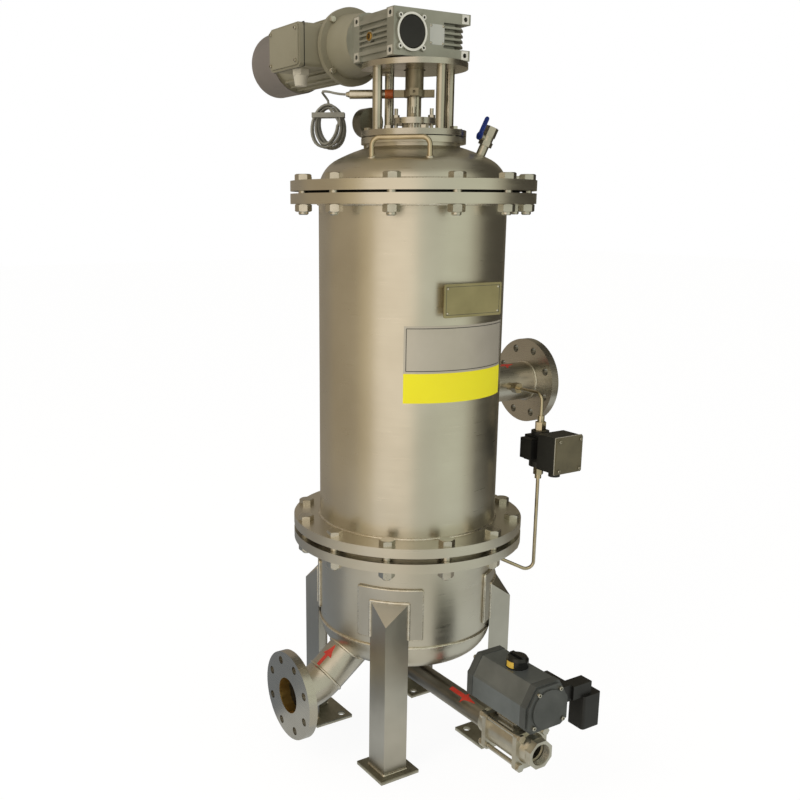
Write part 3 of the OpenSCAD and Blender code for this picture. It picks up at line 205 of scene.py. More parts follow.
# %% [markdown]
# ## One recipe for most finishes
# Brushed steel, castings, enamel and moulded plastic differ in numbers more than in kind. Each has
# a broad change of tone, a fine grain that moves the roughness, and a shallow relief. The grain is
# stretched along the way the surface was worked: round noise for a casting, long lines for a brush.
# All sizes are millimetres in Object coordinates, so nothing slides when the piece moves.

# %% Finish recipe
finishes = {}
# Noise seldom leaves this range, so it is stretched from there to the full one
NOISE_LOW, NOISE_HIGH = 0.3, 0.7


def finish(name, light, dark, rough, grain, relief=0.02, spread=0.05, patch=160, metallic=0.0):
    """A material with two tones in patches, and a grain of so many millimetres along x, y and z.

    The grain moves the roughness by its spread and is as deep as the relief; a patch is as wide as
    given. Relief and patch are in millimetres too."""
    material = bpy.data.materials.new(name)
    material.use_nodes = True
    tree = material.node_tree
    shader = tree.nodes["Principled BSDF"]
    place = add(tree, "ShaderNodeTexCoord").outputs["Object"]
    worked = add(tree, "ShaderNodeMapping", {"Scale": [1 / (g * MM) for g in grain]}, {"Vector": place})
    lines = add(tree, "ShaderNodeTexNoise", {"Scale": 1.0, "Detail": 4.0, "Roughness": 0.6},
                {"Vector": worked.outputs["Vector"]}).outputs["Fac"]
    clouds = add(tree, "ShaderNodeTexNoise", {"Scale": 1 / (patch * MM), "Detail": 3.0},
                 {"Vector": place}).outputs["Fac"]
    blend = add(tree, "ShaderNodeMapRange", {"From Min": NOISE_LOW, "From Max": NOISE_HIGH},
                {"Value": clouds})
    tone = add(tree, "ShaderNodeMix", {6: linear(dark), 7: linear(light)}, {0: blend.outputs["Result"]},
               data_type="RGBA")
    gloss = add(tree, "ShaderNodeMapRange", {
        "From Min": NOISE_LOW, "From Max": NOISE_HIGH, "To Min": rough - spread, "To Max": rough + spread},
        {"Value": lines})
    bump = add(tree, "ShaderNodeBump", {"Strength": 0.6, "Distance": relief * MM}, {"Height": lines})
    tree.links.new(tone.outputs[2], shader.inputs["Base Color"])
    tree.links.new(gloss.outputs["Result"], shader.inputs["Roughness"])
    tree.links.new(bump.outputs["Normal"], shader.inputs["Normal"])
    shader.inputs["Metallic"].default_value = metallic
    finishes[name] = material
    return material


def wear(names, material):
    """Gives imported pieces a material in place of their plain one."""
    for name in names:
        slots = nodes[name].data.materials
        slots.clear()
        slots.append(material)


print("recipe: two tones in patches, a grain that moves the roughness, a shallow relief")

# %% [markdown]
# ## Stainless steel
# The vessel is rolled and turned stainless sheet with a satin brush: the lines run round it, and
# they smear the studio's reflections into tall soft bands. The photograph shows it warm, between
# beige and grey-green. Pipes are drawn tube with lines along them, the legs are sheet brushed
# upright, and the flanges are turned, so a little smoother.

# %% Stainless finishes
# A real brush line is about a tenth of a millimetre wide. The lines here are some 2 mm wide, as
# coarse as they need to be to show in a picture of the whole filter.
# Rolled sheet, brushed round the vessel: tall soft bands of light
satin_shell = finish("satin_stainless_shell", "#dedace", "#d1ccbf", 0.33, (90, 90, 2.2),
                     0.012, 0.06, metallic=1.0)
# Faced on a lathe: a little smoother than the sheet, so its edges catch sharper light
turned_flange = finish("turned_stainless_flange", "#d0ccc2", "#bfbab0", 0.27, (60, 60, 1.6),
                       0.01, metallic=1.0)
# Drawn tube: long streaks along the pipe. The drain's tube is the same tube in a far darker tone: painted
# shade
drawn_pipe_x = finish("drawn_stainless_pipe", "#d6d2c8", "#c1bdb2", 0.31, (70, 2.2, 2.2),
                      0.012, 0.06, 90, 1.0)
shaded_drain_pipe = finish("drawn_stainless_drain_painted_shade", "#98938a", "#827e74", 0.33, (2.2, 70, 2.2),
                      0.012, 0.06, 90, 1.0)
# Folded sheet, brushed upright: a broad, even sheen on each flat side
brushed_leg = finish("brushed_leg_sheet", "#cfccc3", "#bcb9b0", 0.36, (2.4, 2.4, 90),
                     0.012, 0.06, 120, 1.0)
# Hot-rolled plate: dark, blotched and almost without shine
dull_foot = finish("hot_rolled_foot_plate", "#a5a292", "#8a8776", 0.50, (6, 6, 6), 0.05, 0.08, 40, 0.9)
# Forged and tumbled: small bright faces
bright_bolt = finish("bright_stainless_fastener", "#d6d3c9", "#c3bfb3", 0.24, (3, 3, 3),
                     0.01, 0.04, 30, 1.0)
# Polished rod and tube: a warm tint, painted reflection of the room round it
polished_tube = finish("polished_stainless_tube", "#d4c8ac", "#bdb096", 0.22, (4, 4, 40),
                       0.008, 0.04, 50, 1.0)
# Ground round: one clear streak of light along the shaft
ground_shaft = finish("ground_shaft_steel", "#c9c4b6", "#b3aea0", 0.22, (30, 30, 1.5),
                      0.008, 0.04, 60, 1.0)
# Weld metal, lightly ground: rippled, and paler than the sheet beside it
weld_metal = finish("ground_weld_metal", "#f0ece2", "#d8d0be", 0.30, (4, 4, 4), 0.05, 0.08, 14, 1.0)
# Etched plate: matt and yellowish
bare_plate = finish("etched_plate_blank", "#bab089", "#a79e7a", 0.42, (40, 4, 2.0), 0.008, 0.04, 60, 1.0)
print("stainless:", len(finishes), "finishes")

# %% [markdown]
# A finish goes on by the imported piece's name. The CAD mesh itself is never touched: it only gets
# another material.

# %% Stainless pieces
wear(["lower_chamber", "body_shell", "lid"], satin_shell)
wear(["inlet_flange", "outlet_flange", "base_plate", "gland_follower", "motor_plate"], turned_flange)
wear(["inlet_nozzle", "outlet_nozzle"], drawn_pipe_x)
# The drain's tube: the pipe steel in a darker tone, painted shade
wear(["drain_pipe"], shaded_drain_pipe)
wear(["leg_front", "leg_left", "leg_right", "leg_back", "leg_pads"], brushed_leg)
wear(["foot_plates"], dull_foot)
wear(["sensor", "neck_bolts", "gland_studs", "valve_bolts"], bright_bolt)
wear(["lower_flange_bolts", "upper_flange_bolts"], bright_bolt)
wear(["switch_tubes", "lid_handles"], polished_tube)
wear(["scraper_shaft", "columns"], ground_shaft)
wear(["name_plate"], bare_plate)
wear(["screen_ring", "filter_screen", "screen_rods", "screen_top_ring", "scraper_arms"], turned_flange)
print("dressed in stainless: vessel, pipes, legs, bolts, drive and screen")

# %% [markdown]
# ## Castings, paint and plastics
# The gearbox is die-cast aluminium with a fine sandy skin. The motor wears khaki enamel, sprayed
# thin, with a faint orange peel. The drain valve is investment-cast steel. The actuator is
# anodised aluminium, and the rest is moulded plastic: black housings, a blue sleeve on the lever.

# %% Other finishes
# Casting sand and the grain of a mould are some tenths of a millimetre wide. They are drawn 1.6 to
# 2 mm wide here, as coarse as they need to be to show.
# Die-cast skin: fine sand, a dull sheen, no clear reflections
cast_aluminium = finish("die_cast_aluminium", "#b6b7ad", "#a2a398", 0.46, (1.6, 1.6, 1.6),
                        0.06, 0.06, 70, 0.75)
# Sprayed enamel: even colour, faint orange peel, a soft wide highlight
motor_enamel = finish("khaki_motor_enamel", "#99947f", "#8e8973", 0.42, (5, 5, 5), 0.05, 0.05, 120)
cover_enamel = finish("khaki_cover_enamel", "#99947f", "#8e8974", 0.42, (5, 5, 5), 0.05, 0.05, 120)
cowl_enamel = finish("grey_cowl_enamel", "#837c76", "#77716c", 0.40, (5, 5, 5), 0.04, 0.05, 120)
cap_paint = finish("painted_actuator_cap", "#5a5d5b", "#4a4d4b", 0.42, (3, 3, 3), 0.04, 0.05, 40, 0.3)
cover_paint = finish("olive_cover_enamel", "#6e684f", "#5c5742", 0.45, (3, 3, 3), 0.04, 0.06, 40)
# Investment cast and blasted: pale, with a fine even tooth
cast_valve = finish("investment_cast_steel", "#d6d2c6", "#bab5a6", 0.34, (2.0, 2.0, 2.0),
                    0.08, 0.07, 40, 1.0)
# Extruded and anodised: grey metal with streaks along the extrusion
anodised = finish("anodised_actuator_body", "#868b8b", "#747979", 0.40, (2.0, 60, 2.0),
                  0.012, 0.05, 60, 0.7)
# Moulded plastic: deep colour and a satin or polished skin
black_plastic = finish("moulded_black_plastic", "#232321", "#191918", 0.45, (1.8, 1.8, 1.8), 0.04, 0.06, 40)
gloss_plastic = finish("polished_black_plastic", "#191918", "#121211", 0.22, (4, 4, 4), 0.01, 0.04, 40)
blue_sleeve = finish("blue_vinyl_sleeve", "#27408f", "#1c3078", 0.38, (3, 3, 3), 0.04, 0.05, 20)
white_plastic = finish("white_scraper_plastic", "#e6e4dc", "#d9d6cc", 0.50, (4, 4, 4), 0.03, 0.05, 60)
gland_plastic = finish("pale_gland_plastic", "#cfcbbb", "#bfbaa9", 0.40, (3, 3, 3), 0.03, 0.05, 30)
fan_plastic = finish("dark_fan_plastic", "#45443f", "#383733", 0.50, (4, 4, 4), 0.03, 0.05, 60)
grey_sheath = finish("grey_cable_sheath", "#98978d", "#87867c", 0.48, (4, 4, 4), 0.03, 0.06, 20)
# Rubber and graphite: dark and matt, they swallow the light between the flanges
rubber = finish("black_rubber_gasket", "#2a2a28", "#1e1e1c", 0.65, (2, 2, 2), 0.06, 0.08, 30)
graphite = finish("graphite_packing", "#47453e", "#38362f", 0.55, (2, 2, 2), 0.08, 0.08, 20, 0.3)
# Turned bronze glows warm, blasted steel stays dull, and the gauge's spun case has a satin streak
bronze = finish("bearing_bronze", "#b98f4e", "#9c7a42", 0.35, (20, 20, 1.5), 0.01, 0.05, 40, 1.0)
dull_steel = finish("blasted_bracket_steel", "#a59c86", "#8d8571", 0.45, (2, 2, 2), 0.04, 0.06, 30, 0.9)
case_steel = finish("satin_gauge_case", "#8f8d84", "#787669", 0.30, (2, 30, 2), 0.01, 0.05, 40, 1.0)
print("finishes so far:", len(finishes))

# %% [markdown]
# The cable's strap and its sheath are the same grey plastic. The drain's ball turns with its stem
# and indicator as one piece, of which only the black indicator shows.

# %% Cast, painted and moulded pieces
wear(["gearbox_housing"], cast_aluminium)
wear(["motor_frame", "terminal_box"], motor_enamel)
wear(["terminal_cover"], cover_enamel)
wear(["fan_cowl"], cowl_enamel)
wear(["valve_body", "vent_valve"], cast_valve)
wear(["valve_ball"], gloss_plastic)
wear(["actuator"], anodised)
wear(["actuator_caps"], cap_paint)
wear(["gearbox_cap", "pressure_switch", "solenoid_valve"], black_plastic)
wear(["switch_cover"], cover_paint)
wear(["vent_lever"], blue_sleeve)
wear(["gaskets"], rubber)
wear(["packing_rings"], graphite)
wear(["lower_bearing"], bronze)
wear(["scraper_blades"], white_plastic)
wear(["cable_gland"], gland_plastic)
wear(["motor_fan"], fan_plastic)
wear(["sensor_bracket", "trigger_cross"], dull_steel)
wear(["pressure_gauge"], case_steel)
wear(["cable_tie"], grey_sheath)
cable_curve.materials.append(grey_sheath)
print("dressed: drive, motor, valves, instruments and the inside")

# %% [markdown]
# ## Meshes from rings
# Bolt heads, nuts, bezels and collars are all turned or hexagonal. A stack of rings makes any of
# them: each ring gives a radius and a height for every angle. A hexagon is a ring whose radius
# follows the flats, and its chamfer is a ring that drops most at the corners, as a real one does.

# %% Ring stacks
RING_STEPS = 36
HEX_CROWN = 0.475
HEX_BEVEL = math.tan(math.radians(30))


def hexagon(across):
    """Radius of a hexagon with that distance across its flats, at an angle."""
    return lambda a: across / 2 / math.cos((a + math.pi / 6) % (math.pi / 3) - math.pi / 6)


def stack(bm, rings, seat=Matrix.Identity(4), steps=RING_STEPS, hollow=False):
    """Adds a closed solid to a mesh: rings of (radius, height) in millimetres, numbers or rules.

    A hollow one joins its last ring to its first, as a sleeve does, and the others are capped."""
    loops = []
    for radius, height in rings:
        loop = []
        for i in range(steps):
            a = 2 * math.pi * i / steps
            r = radius(a) if callable(radius) else radius
            z = height(a) if callable(height) else height
            loop.append(bm.verts.new(seat @ Vector((r * math.cos(a), r * math.sin(a), z)) * MM))
        loops.append(loop)
    for low, high in zip(loops, loops[1:] + loops[:1] if hollow else loops[1:]):
        for i in range(steps):
            j = (i + 1) % steps
            bm.faces.new((low[i], low[j], high[j], high[i]))
    if not hollow:
        bm.faces.new(loops[0][::-1])
        bm.faces.new(loops[-1])


def hex_rings(across, foot, top, bevel_foot=False):
    """Rings of a hexagon from foot to top, chamfered on its top and, for a nut, on its foot."""
    flat = hexagon(across)
    crown = HEX_CROWN * across

    def drop(a):
        return (flat(a) - crown) * HEX_BEVEL

    start = [(crown, foot), (flat, lambda a: foot + drop(a))] if bevel_foot else [(flat, foot)]
    return start + [(flat, lambda a: top - drop(a)), (crown, top)]


def piece(name, bm, material, smooth=30):
    """Turns a mesh in the making into an object at the origin, with its edges sharp above an angle."""
    bmesh.ops.recalc_face_normals(bm, faces=bm.faces)
    mesh = bpy.data.meshes.new(name)
    bm.to_mesh(mesh)
    bm.free()
    mesh.materials.append(material)
    mesh.shade_smooth()
    mesh.set_sharp_from_angle(angle=math.radians(smooth))
    obj = bpy.data.objects.new(name, mesh)
    scene.collection.objects.link(obj)
    return obj


print("rings have", RING_STEPS, "steps, a hexagon's crown is", HEX_CROWN, "of its width")

# %% [markdown]
# ## Bolts round the flanges
# Twelve bolts hold each pair of main flanges. They could be copied by hand, but a Geometry Nodes
# tree sets one bolt on every point of a circle. The count, the pitch circle and the first angle are
# inputs, so the same tree serves both rings.

# %% Tree that sets a piece round a circle
def new_tree(name, inputs):
    """An empty tree with its inputs, the sockets they come out of and the socket for the result."""
    tree = bpy.data.node_groups.new(name, "GeometryNodeTree")
    tree.interface.new_socket("Geometry", in_out="INPUT", socket_type="NodeSocketGeometry")
    tree.interface.new_socket("Geometry", in_out="OUTPUT", socket_type="NodeSocketGeometry")
    for label, kind in inputs:
        tree.interface.new_socket(label, in_out="INPUT", socket_type=kind)
    return tree, add(tree, "NodeGroupInput").outputs, add(tree, "NodeGroupOutput").inputs[0]


def end_tree(tree, instances, given, result):
    """Turns a tree's instances into real faces with the given finish, and hands them out."""
    real = add(tree, "GeometryNodeRealizeInstances", {}, {0: instances})
    dressed = add(tree, "GeometryNodeSetMaterial", {}, {
        "Geometry": real.outputs[0], "Material": given["Finish"]})
    tree.links.new(dressed.outputs[0], result)
    return tree


def ring_tree():
    """Sets one piece on every point of a circle."""
    tree, given, result = new_tree("ring_of_bolts", [
        ("Bolt", "NodeSocketObject"), ("Count", "NodeSocketInt"), ("Pitch radius", "NodeSocketFloat"),
        ("First angle", "NodeSocketFloat"), ("Finish", "NodeSocketMaterial")])
    circle = add(tree, "GeometryNodeMeshCircle", {}, {
        "Vertices": given["Count"], "Radius": given["Pitch radius"]})
    spin = add(tree, "ShaderNodeCombineXYZ", {}, {"Z": given["First angle"]})
    places = add(tree, "GeometryNodeTransform", {}, {
        "Geometry": circle.outputs[0], "Rotation": spin.outputs[0]})
    bolt = add(tree, "GeometryNodeObjectInfo", {}, {"Object": given["Bolt"]})
    bolts = add(tree, "GeometryNodeInstanceOnPoints", {}, {
        "Points": places.outputs[0], "Instance": bolt.outputs["Geometry"]})
    return end_tree(tree, bolts.outputs[0], given, result)


def grow(name, source_mesh, tree, values):
    """Runs a tree on a mesh and gives back its result as a plain mesh object."""
    source = bpy.data.objects.new(name + "_source", source_mesh)
    modifier = source.modifiers.new(name, "NODES")
    modifier.node_group = tree
    for item in tree.interface.items_tree:
        if item.in_out == "INPUT" and item.name in values:
            modifier[item.identifier] = values[item.name]
    scene.collection.objects.link(source)
    depsgraph = bpy.context.evaluated_depsgraph_get()
    mesh = bpy.data.meshes.new_from_object(source.evaluated_get(depsgraph), depsgraph=depsgraph)
    mesh.name = name
    source.modifiers.remove(modifier)
    bpy.data.objects.remove(source)
    obj = bpy.data.objects.new(name, mesh)
    scene.collection.objects.link(obj)
    return obj


bolt_ring = ring_tree()
print("tree:", bolt_ring.name, "with", len(bolt_ring.nodes), "nodes")

# %% [markdown]
# A flange bolt has a chamfered hexagon head on top, a shank that shows in the gap between the
# flanges, and a nut and a chamfered end below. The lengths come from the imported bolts' box.

# %% The bolts themselves
BOLT_D = 20
BOLT_PITCH_R = 240
BOLT_COUNT = 12
BOLT_FIRST = math.radians(15)
HEAD_H = 0.63 * BOLT_D
NUT_H = 0.8 * BOLT_D
BOLT_TAIL = 1.1 * BOLT_D
HEX_W = 1.5 * BOLT_D
SEAT_R = 0.55 * BOLT_D
SEAT_T = 0.1
END_CHAMFER = 2


def flange_bolt(name, foot, top):
    """Hexagon bolt through a pair of flanges, with its nut and a chamfered end below."""
    bm = bmesh.new()
    shank, end = BOLT_D / 2, foot - BOLT_TAIL
    stack(bm, [(SEAT_R, top), (shank, top - SEAT_T), (shank, end + END_CHAMFER), (shank - END_CHAMFER, end)])
    stack(bm, hex_rings(HEX_W, top, top + HEAD_H))
    stack(bm, hex_rings(HEX_W, foot - NUT_H, foot, True))
    return piece(name, bm, bright_bolt)


def bolt_set(name, bolt, count, radius, first):
    """A ring of bolts as one piece; the bolt it was made from is removed."""
    values = {"Bolt": bolt, "Count": count, "Pitch radius": radius * MM, "First angle": first,
              "Finish": bright_bolt}
    ring = grow(name, bpy.data.meshes.new(name + "_seed"), bolt_ring, values)
    bpy.data.objects.remove(bolt)
    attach(ring, "vessel")
    return ring


for node in ("lower_flange_bolts", "upper_flange_bolts"):
    low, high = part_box(node)
    bolt = flange_bolt("bolt_pattern", low.z / MM + BOLT_TAIL, high.z / MM - HEAD_H)
    ring = bolt_set(node.replace("flange_bolts", "bolt_ring"), bolt, BOLT_COUNT, BOLT_PITCH_R, BOLT_FIRST)
    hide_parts(node)
    print(ring.name, len(ring.data.polygons), "faces")

# %% [markdown]
# ## Screws on small covers
# Cap screws hold the actuator's caps, the switch's cover and the terminal box's cover. They sit at
# given places and look along given directions, so the points carry a direction as an attribute,
# and a second tree turns one screw to it at each point.

# %% Tree that sets screws on points
def screw_tree():
    """Sets one piece on every point, turned to the way that the point faces."""
    tree, given, result = new_tree("screws_on_points", [
        ("Screw", "NodeSocketObject"), ("Size", "NodeSocketFloat"), ("Finish", "NodeSocketMaterial")])
    facing = add(tree, "GeometryNodeInputNamedAttribute", {"Name": "facing"}, data_type="FLOAT_VECTOR")
    turn = add(tree, "FunctionNodeAlignRotationToVector", {}, {"Vector": facing.outputs["Attribute"]},
               axis="Z")
    screw = add(tree, "GeometryNodeObjectInfo", {}, {"Object": given["Screw"]})
    screws = add(tree, "GeometryNodeInstanceOnPoints", {}, {
        "Points": given["Geometry"], "Instance": screw.outputs["Geometry"],
        "Rotation": turn.outputs["Rotation"], "Scale": given["Size"]})
    return end_tree(tree, screws.outputs[0], given, result)


def seats_mesh(name, seats):
    """Points in millimetres, each with the way its screw faces."""
    mesh = bpy.data.meshes.new(name)
    mesh.from_pydata([Vector(at) * MM for at, _ in seats], [], [])
    facing = mesh.attributes.new("facing", "FLOAT_VECTOR", "POINT")
    for entry, (_, way) in zip(facing.data, seats):
        entry.vector = way
    return mesh


def cap_screw(d):
    """Socket head screw of that head diameter, with its hexagon socket open."""
    h = 0.62 * d
    socket = hexagon(0.5 * d)
    bm = bmesh.new()
    stack(bm, [(d / 2, -0.5), (d / 2, h - 0.08 * d), (0.44 * d, h), (socket, h), (socket, 0.25 * h)])
    return piece("cap_screw_pattern", bm, bright_bolt)


def hex_screw(across):
    """Hexagon screw on a washer, of that width across its flats."""
    bm = bmesh.new()
    stack(bm, [(0.62 * across, -0.3), (0.62 * across, 0.08 * across)])
    stack(bm, hex_rings(across, 0.08 * across, 0.55 * across))
    return piece("hex_screw_pattern", bm, bright_bolt)


def screw_set(name, pattern, seats):
    """Screws on their seats as one piece; the screw they were made from is removed."""
    values = {"Screw": pattern, "Size": 1.0, "Finish": bright_bolt}
    screws = grow(name, seats_mesh(name + "_seats", seats), screw_sets, values)
    bpy.data.objects.remove(pattern)
    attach(screws, "vessel")
    print(name + ":", len(seats))
    return screws


screw_sets = screw_tree()
print("tree:", screw_sets.name, "with", len(screw_sets.nodes), "nodes")

# %% [markdown]
# A cover's four screws sit a little in from its corners, so one helper finds the seats from the
# packed cover's box. The actuator's caps are not square, so their seats are given one by one.

# %% Screws in their places
def corners(low, high, axis, side, inset):
    """Four places near the corners of a box's face, and the way out of that face."""
    way = Vector((0, 0, 0))
    way[axis] = side
    flat = [i for i in range(3) if i != axis]
    places = []
    for u in (-1, 1):
        for v in (-1, 1):
            at = Vector((0, 0, 0))
            at[axis] = (high if side > 0 else low)[axis] / MM
            for i, s in zip(flat, (u, v)):
                at[i] = (low[i] + high[i]) / 2 / MM + s * ((high[i] - low[i]) / 2 / MM - inset)
            places.append((at, way))
    return places


CAP_SCREWS = [(-38, 244), (38, 244), (-28, 312), (28, 312)]
CAP_FACES = [(-488, -1), (-300, 1)]
cap_seats = [(Vector((x, y, z)), Vector((0, side, 0))) for y, side in CAP_FACES for x, z in CAP_SCREWS]
screw_set("actuator_cap_screws", cap_screw(9), cap_seats)
screw_set("switch_cover_screws", cap_screw(7), corners(*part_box("switch_cover"), 1, -1, 8))
screw_set("terminal_cover_screws", cap_screw(7), corners(*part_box("terminal_cover"), 0, -1, 12))

# %% [markdown]
# ## Weld beads
# The vessel is welded from rolled and pressed parts, and the beads catch the light. A bead follows
# a path, so a tree does it: the path becomes a curve with even steps, the radius swells and shrinks
# a little from step to step as the weld pool froze, and a round profile is swept along.

# %% Weld tree
POOL_PHASE = 2.1
POOL_SWELL = 0.12


def weld_tree():
    """Sweeps a round bead along every path, with a radius that swells from step to step."""
    tree, given, result = new_tree("weld_bead", [
        ("Width", "NodeSocketFloat"), ("Step", "NodeSocketFloat"), ("Finish", "NodeSocketMaterial")])
    path = add(tree, "GeometryNodeMeshToCurve", {}, {"Mesh": given["Geometry"]})
    even = add(tree, "GeometryNodeResampleCurve", {}, {"Curve": path.outputs[0], "Length": given["Step"]},
               mode="LENGTH")
    count = add(tree, "GeometryNodeInputIndex")
    wave = add(tree, "ShaderNodeMath", {1: POOL_PHASE}, {0: count.outputs[0]}, operation="MULTIPLY")
    swell = add(tree, "ShaderNodeMath", {}, {0: wave.outputs[0]}, operation="SINE")
    size = add(tree, "ShaderNodeMath", {1: POOL_SWELL, 2: 1.0}, {0: swell.outputs[0]},
               operation="MULTIPLY_ADD")
    pool = add(tree, "GeometryNodeSetCurveRadius", {}, {"Curve": even.outputs[0], "Radius": size.outputs[0]})
    half = add(tree, "ShaderNodeMath", {1: 0.5}, {0: given["Width"]}, operation="MULTIPLY")
    round_bead = add(tree, "GeometryNodeCurvePrimitiveCircle", {"Resolution": 8}, {"Radius": half.outputs[0]})
    swept = add(tree, "GeometryNodeCurveToMesh", {"Fill Caps": True},
                {"Curve": pool.outputs[0], "Profile Curve": round_bead.outputs[0]})
    soft = add(tree, "GeometryNodeSetShadeSmooth", {}, {"Geometry": swept.outputs[0]})
    return end_tree(tree, soft.outputs[0], given, result)


def circle_path(centre, radius, way=(0, 0, 1), count=96):
    """A circle round a centre, square to a direction, with its first point again at its end."""
    turn = Vector(way).to_track_quat("Z", "Y").to_matrix()
    steps = [2 * math.pi * i / count for i in range(count + 1)]
    return [Vector(centre) + turn @ Vector((radius * math.cos(a), radius * math.sin(a), 0)) for a in steps]


def path_mesh(name, paths):
    """Edges along each path, all in one mesh; the paths are in millimetres."""
    verts, edges = [], []
    for path in paths:
        first = len(verts)
        closed = (path[0] - path[-1]).length < 1e-6
        points = path[:-1] if closed else path
        verts += [p * MM for p in points]
        edges += [(first + i, first + i + 1) for i in range(len(points) - 1)]
        if closed:
            edges.append((first + len(points) - 1, first))
    mesh = bpy.data.meshes.new(name)
    mesh.from_pydata(verts, edges, [])
    return mesh


bead = weld_tree()
print("tree:", bead.name, "with", len(bead.nodes), "nodes")

# %% [markdown]
# The paths follow the vessel's own sizes, in millimetres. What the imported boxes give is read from
# them, and the rest repeats the values that the solids were drawn with.

# %% Sizes that the welds follow
SHELL_R = 200
PAD_R = 206
PIPE_R = 44.45
PAD_HALF_ANGLE = 20
SEAM_Z = 297
FLANGE_T = 21
KNUCKLE_R = 69.2
CROWN_R = 360
CROWN_DROP = 259.7
LEG_R = 172.5
LEG_W = 60
LEG_TOP = 404
FOOT_T = 8
ELBOW_X = -290
ELBOW_R = 114
RISE = math.radians(38)
PAD_BEAD = 2.5
WALL_BEAD = 0.6
LID_BEAD = -1
PIPE_BEAD = 0.5
BEND_BEAD = -0.8
SADDLE_BEAD = 0.8
pad_low, pad_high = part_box("leg_pads")
body_low, body_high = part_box("body_shell")
lid_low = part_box("lid")[0]
out_low, out_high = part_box("outlet_flange")
in_low, in_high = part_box("inlet_flange")
outlet_z = (out_low.z + out_high.z) / 2 / MM
inlet_z = (in_low.z + in_high.z) / 2 / MM
rise_way = Vector((math.cos(RISE), 0, math.sin(RISE)))
rise_start = Vector((ELBOW_X + ELBOW_R * math.sin(RISE), 0, inlet_z + ELBOW_R * (1 - math.cos(RISE))))
print("nozzles: inlet at z", round(inlet_z), "and outlet at z", round(outlet_z))

# %% [markdown]
# Each pad is welded all round, and each leg along its two edges, under its cap and on its foot. The
# legs stand at the four quarters, so one leg's paths are turned for the others.

# %% Paths round the pads and legs
def pad_path(middle):
    """Round the edge of one curved pad."""
    arc = [math.radians(middle - PAD_HALF_ANGLE + PAD_HALF_ANGLE * i / 8) for i in range(17)]
    low, high = pad_low.z / MM, pad_high.z / MM
    r = SHELL_R + PAD_BEAD
    rows = [[Vector((r * math.cos(a), r * math.sin(a), z)) for a in arc] for z in (low, high)]
    return rows[0] + rows[1][::-1] + [rows[0][0]]


def leg_paths(quarter):
    """Up both edges of a leg, along its cap, and round its foot."""
    turn = Matrix.Rotation(math.pi / 2 * quarter, 3, "Z")
    near = math.sqrt(PAD_R ** 2 - LEG_R ** 2)
    first = math.atan2(LEG_R, near)
    arc = [first + (math.pi / 2 - 2 * first) * i / 8 for i in range(9)]
    top = [Vector((PAD_R * math.cos(a), PAD_R * math.sin(a), LEG_TOP)) for a in arc]
    sides = ((near, LEG_R), (LEG_R, near))
    edges = [[Vector((x, y, z)) for z in (pad_low.z / MM, LEG_TOP)] for x, y in sides]
    corner = ((LEG_R - LEG_W, LEG_R), (LEG_R, LEG_R), (LEG_R, LEG_R - LEG_W))
    foot = [Vector((x, y, FOOT_T)) for x, y in corner]
    return [[turn @ p for p in path] for path in edges + [top, foot]]


support_paths = [pad_path(45 + 90 * i) for i in range(4)]
support_paths += [path for i in range(4) for path in leg_paths(i)]
print("pads and legs:", len(support_paths), "paths")

# %% [markdown]
# A pipe meets a round wall along a saddle, which has no simple formula on the dished bottom. So the
# script walks along lines on the pipe's skin until they enter the wall, halving the step each time.

# %% Paths where pipes meet the vessel
HALVINGS = 24


def in_chamber(point):
    """Whether a point lies inside the lower chamber's outline."""
    r, depth = math.hypot(point.x, point.y), max(SEAM_Z - point.z, 0)
    knuckle = SHELL_R - KNUCKLE_R
    if depth == 0 or r > knuckle:
        return math.hypot(max(r - knuckle, 0), depth) < KNUCKLE_R
    return math.hypot(r, depth + CROWN_DROP) < CROWN_R


def saddle_path(start, way, radius, inside, reach=260, steps=64):
    """Where a pipe first meets a wall, found by walking along lines on the pipe's skin."""
    points = []
    for spot in circle_path(start, radius, way, steps):
        low, high = 0, reach
        for _ in range(HALVINGS):
            middle = (low + high) / 2
            low, high = (low, middle) if inside(spot + Vector(way) * middle) else (middle, high)
        points.append(spot + Vector(way) * low)
    return points


def in_body(point):
    """Whether a point lies inside the body shell's outline."""
    return math.hypot(point.x, point.y) < SHELL_R


body_welds = [body_low.z / MM + FLANGE_T, body_high.z / MM - FLANGE_T]
weld_paths = [circle_path((0, 0, z), SHELL_R + WALL_BEAD) for z in [SEAM_Z] + body_welds]
weld_paths += [
    circle_path((0, 0, lid_low.z / MM + FLANGE_T), SHELL_R + LID_BEAD),
    circle_path((out_low.x / MM, 0, outlet_z), PIPE_R + PIPE_BEAD, (1, 0, 0), 64),
    circle_path((in_high.x / MM, 0, inlet_z), PIPE_R + PIPE_BEAD, (1, 0, 0), 64),
    circle_path(rise_start, PIPE_R + BEND_BEAD, rise_way, 64),
    saddle_path((out_low.x / MM, 0, outlet_z), (-1, 0, 0), PIPE_R + SADDLE_BEAD, in_body),
    saddle_path(rise_start, rise_way, PIPE_R + SADDLE_BEAD, in_chamber),
]
weld_paths += support_paths
print("all welds:", len(weld_paths), "paths")

# %% [markdown]
# One run of the tree sweeps all these paths, so the vessel's welds are one piece.

# %% Weld beads on the vessel
WELD_W = 7
WELD_STEP = 2.5
welds = grow("weld_beads", path_mesh("weld_paths", weld_paths), bead,
             {"Width": WELD_W * MM, "Step": WELD_STEP * MM, "Finish": weld_metal})
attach(welds, "vessel")
print("welds:", len(welds.data.polygons), "faces")

# %% [markdown]
# The two lifting handles are bent rod, and they stand on the lid's rounded edge. Each foot gets a
# small ring of weld, tilted as the lid is at that place.

# %% Small welds at the handles' feet
HANDLE_R = 150
HANDLE_W = 116
HANDLE_D = 10
HANDLE_AZ = (45, 225)
FOOT_BEAD = 1
HANDLE_WELD_W = 4.5
HANDLE_WELD_STEP = 2
LID_STRAIGHT = 2
LID_TANGENT = lid_low.z / MM + LID_STRAIGHT


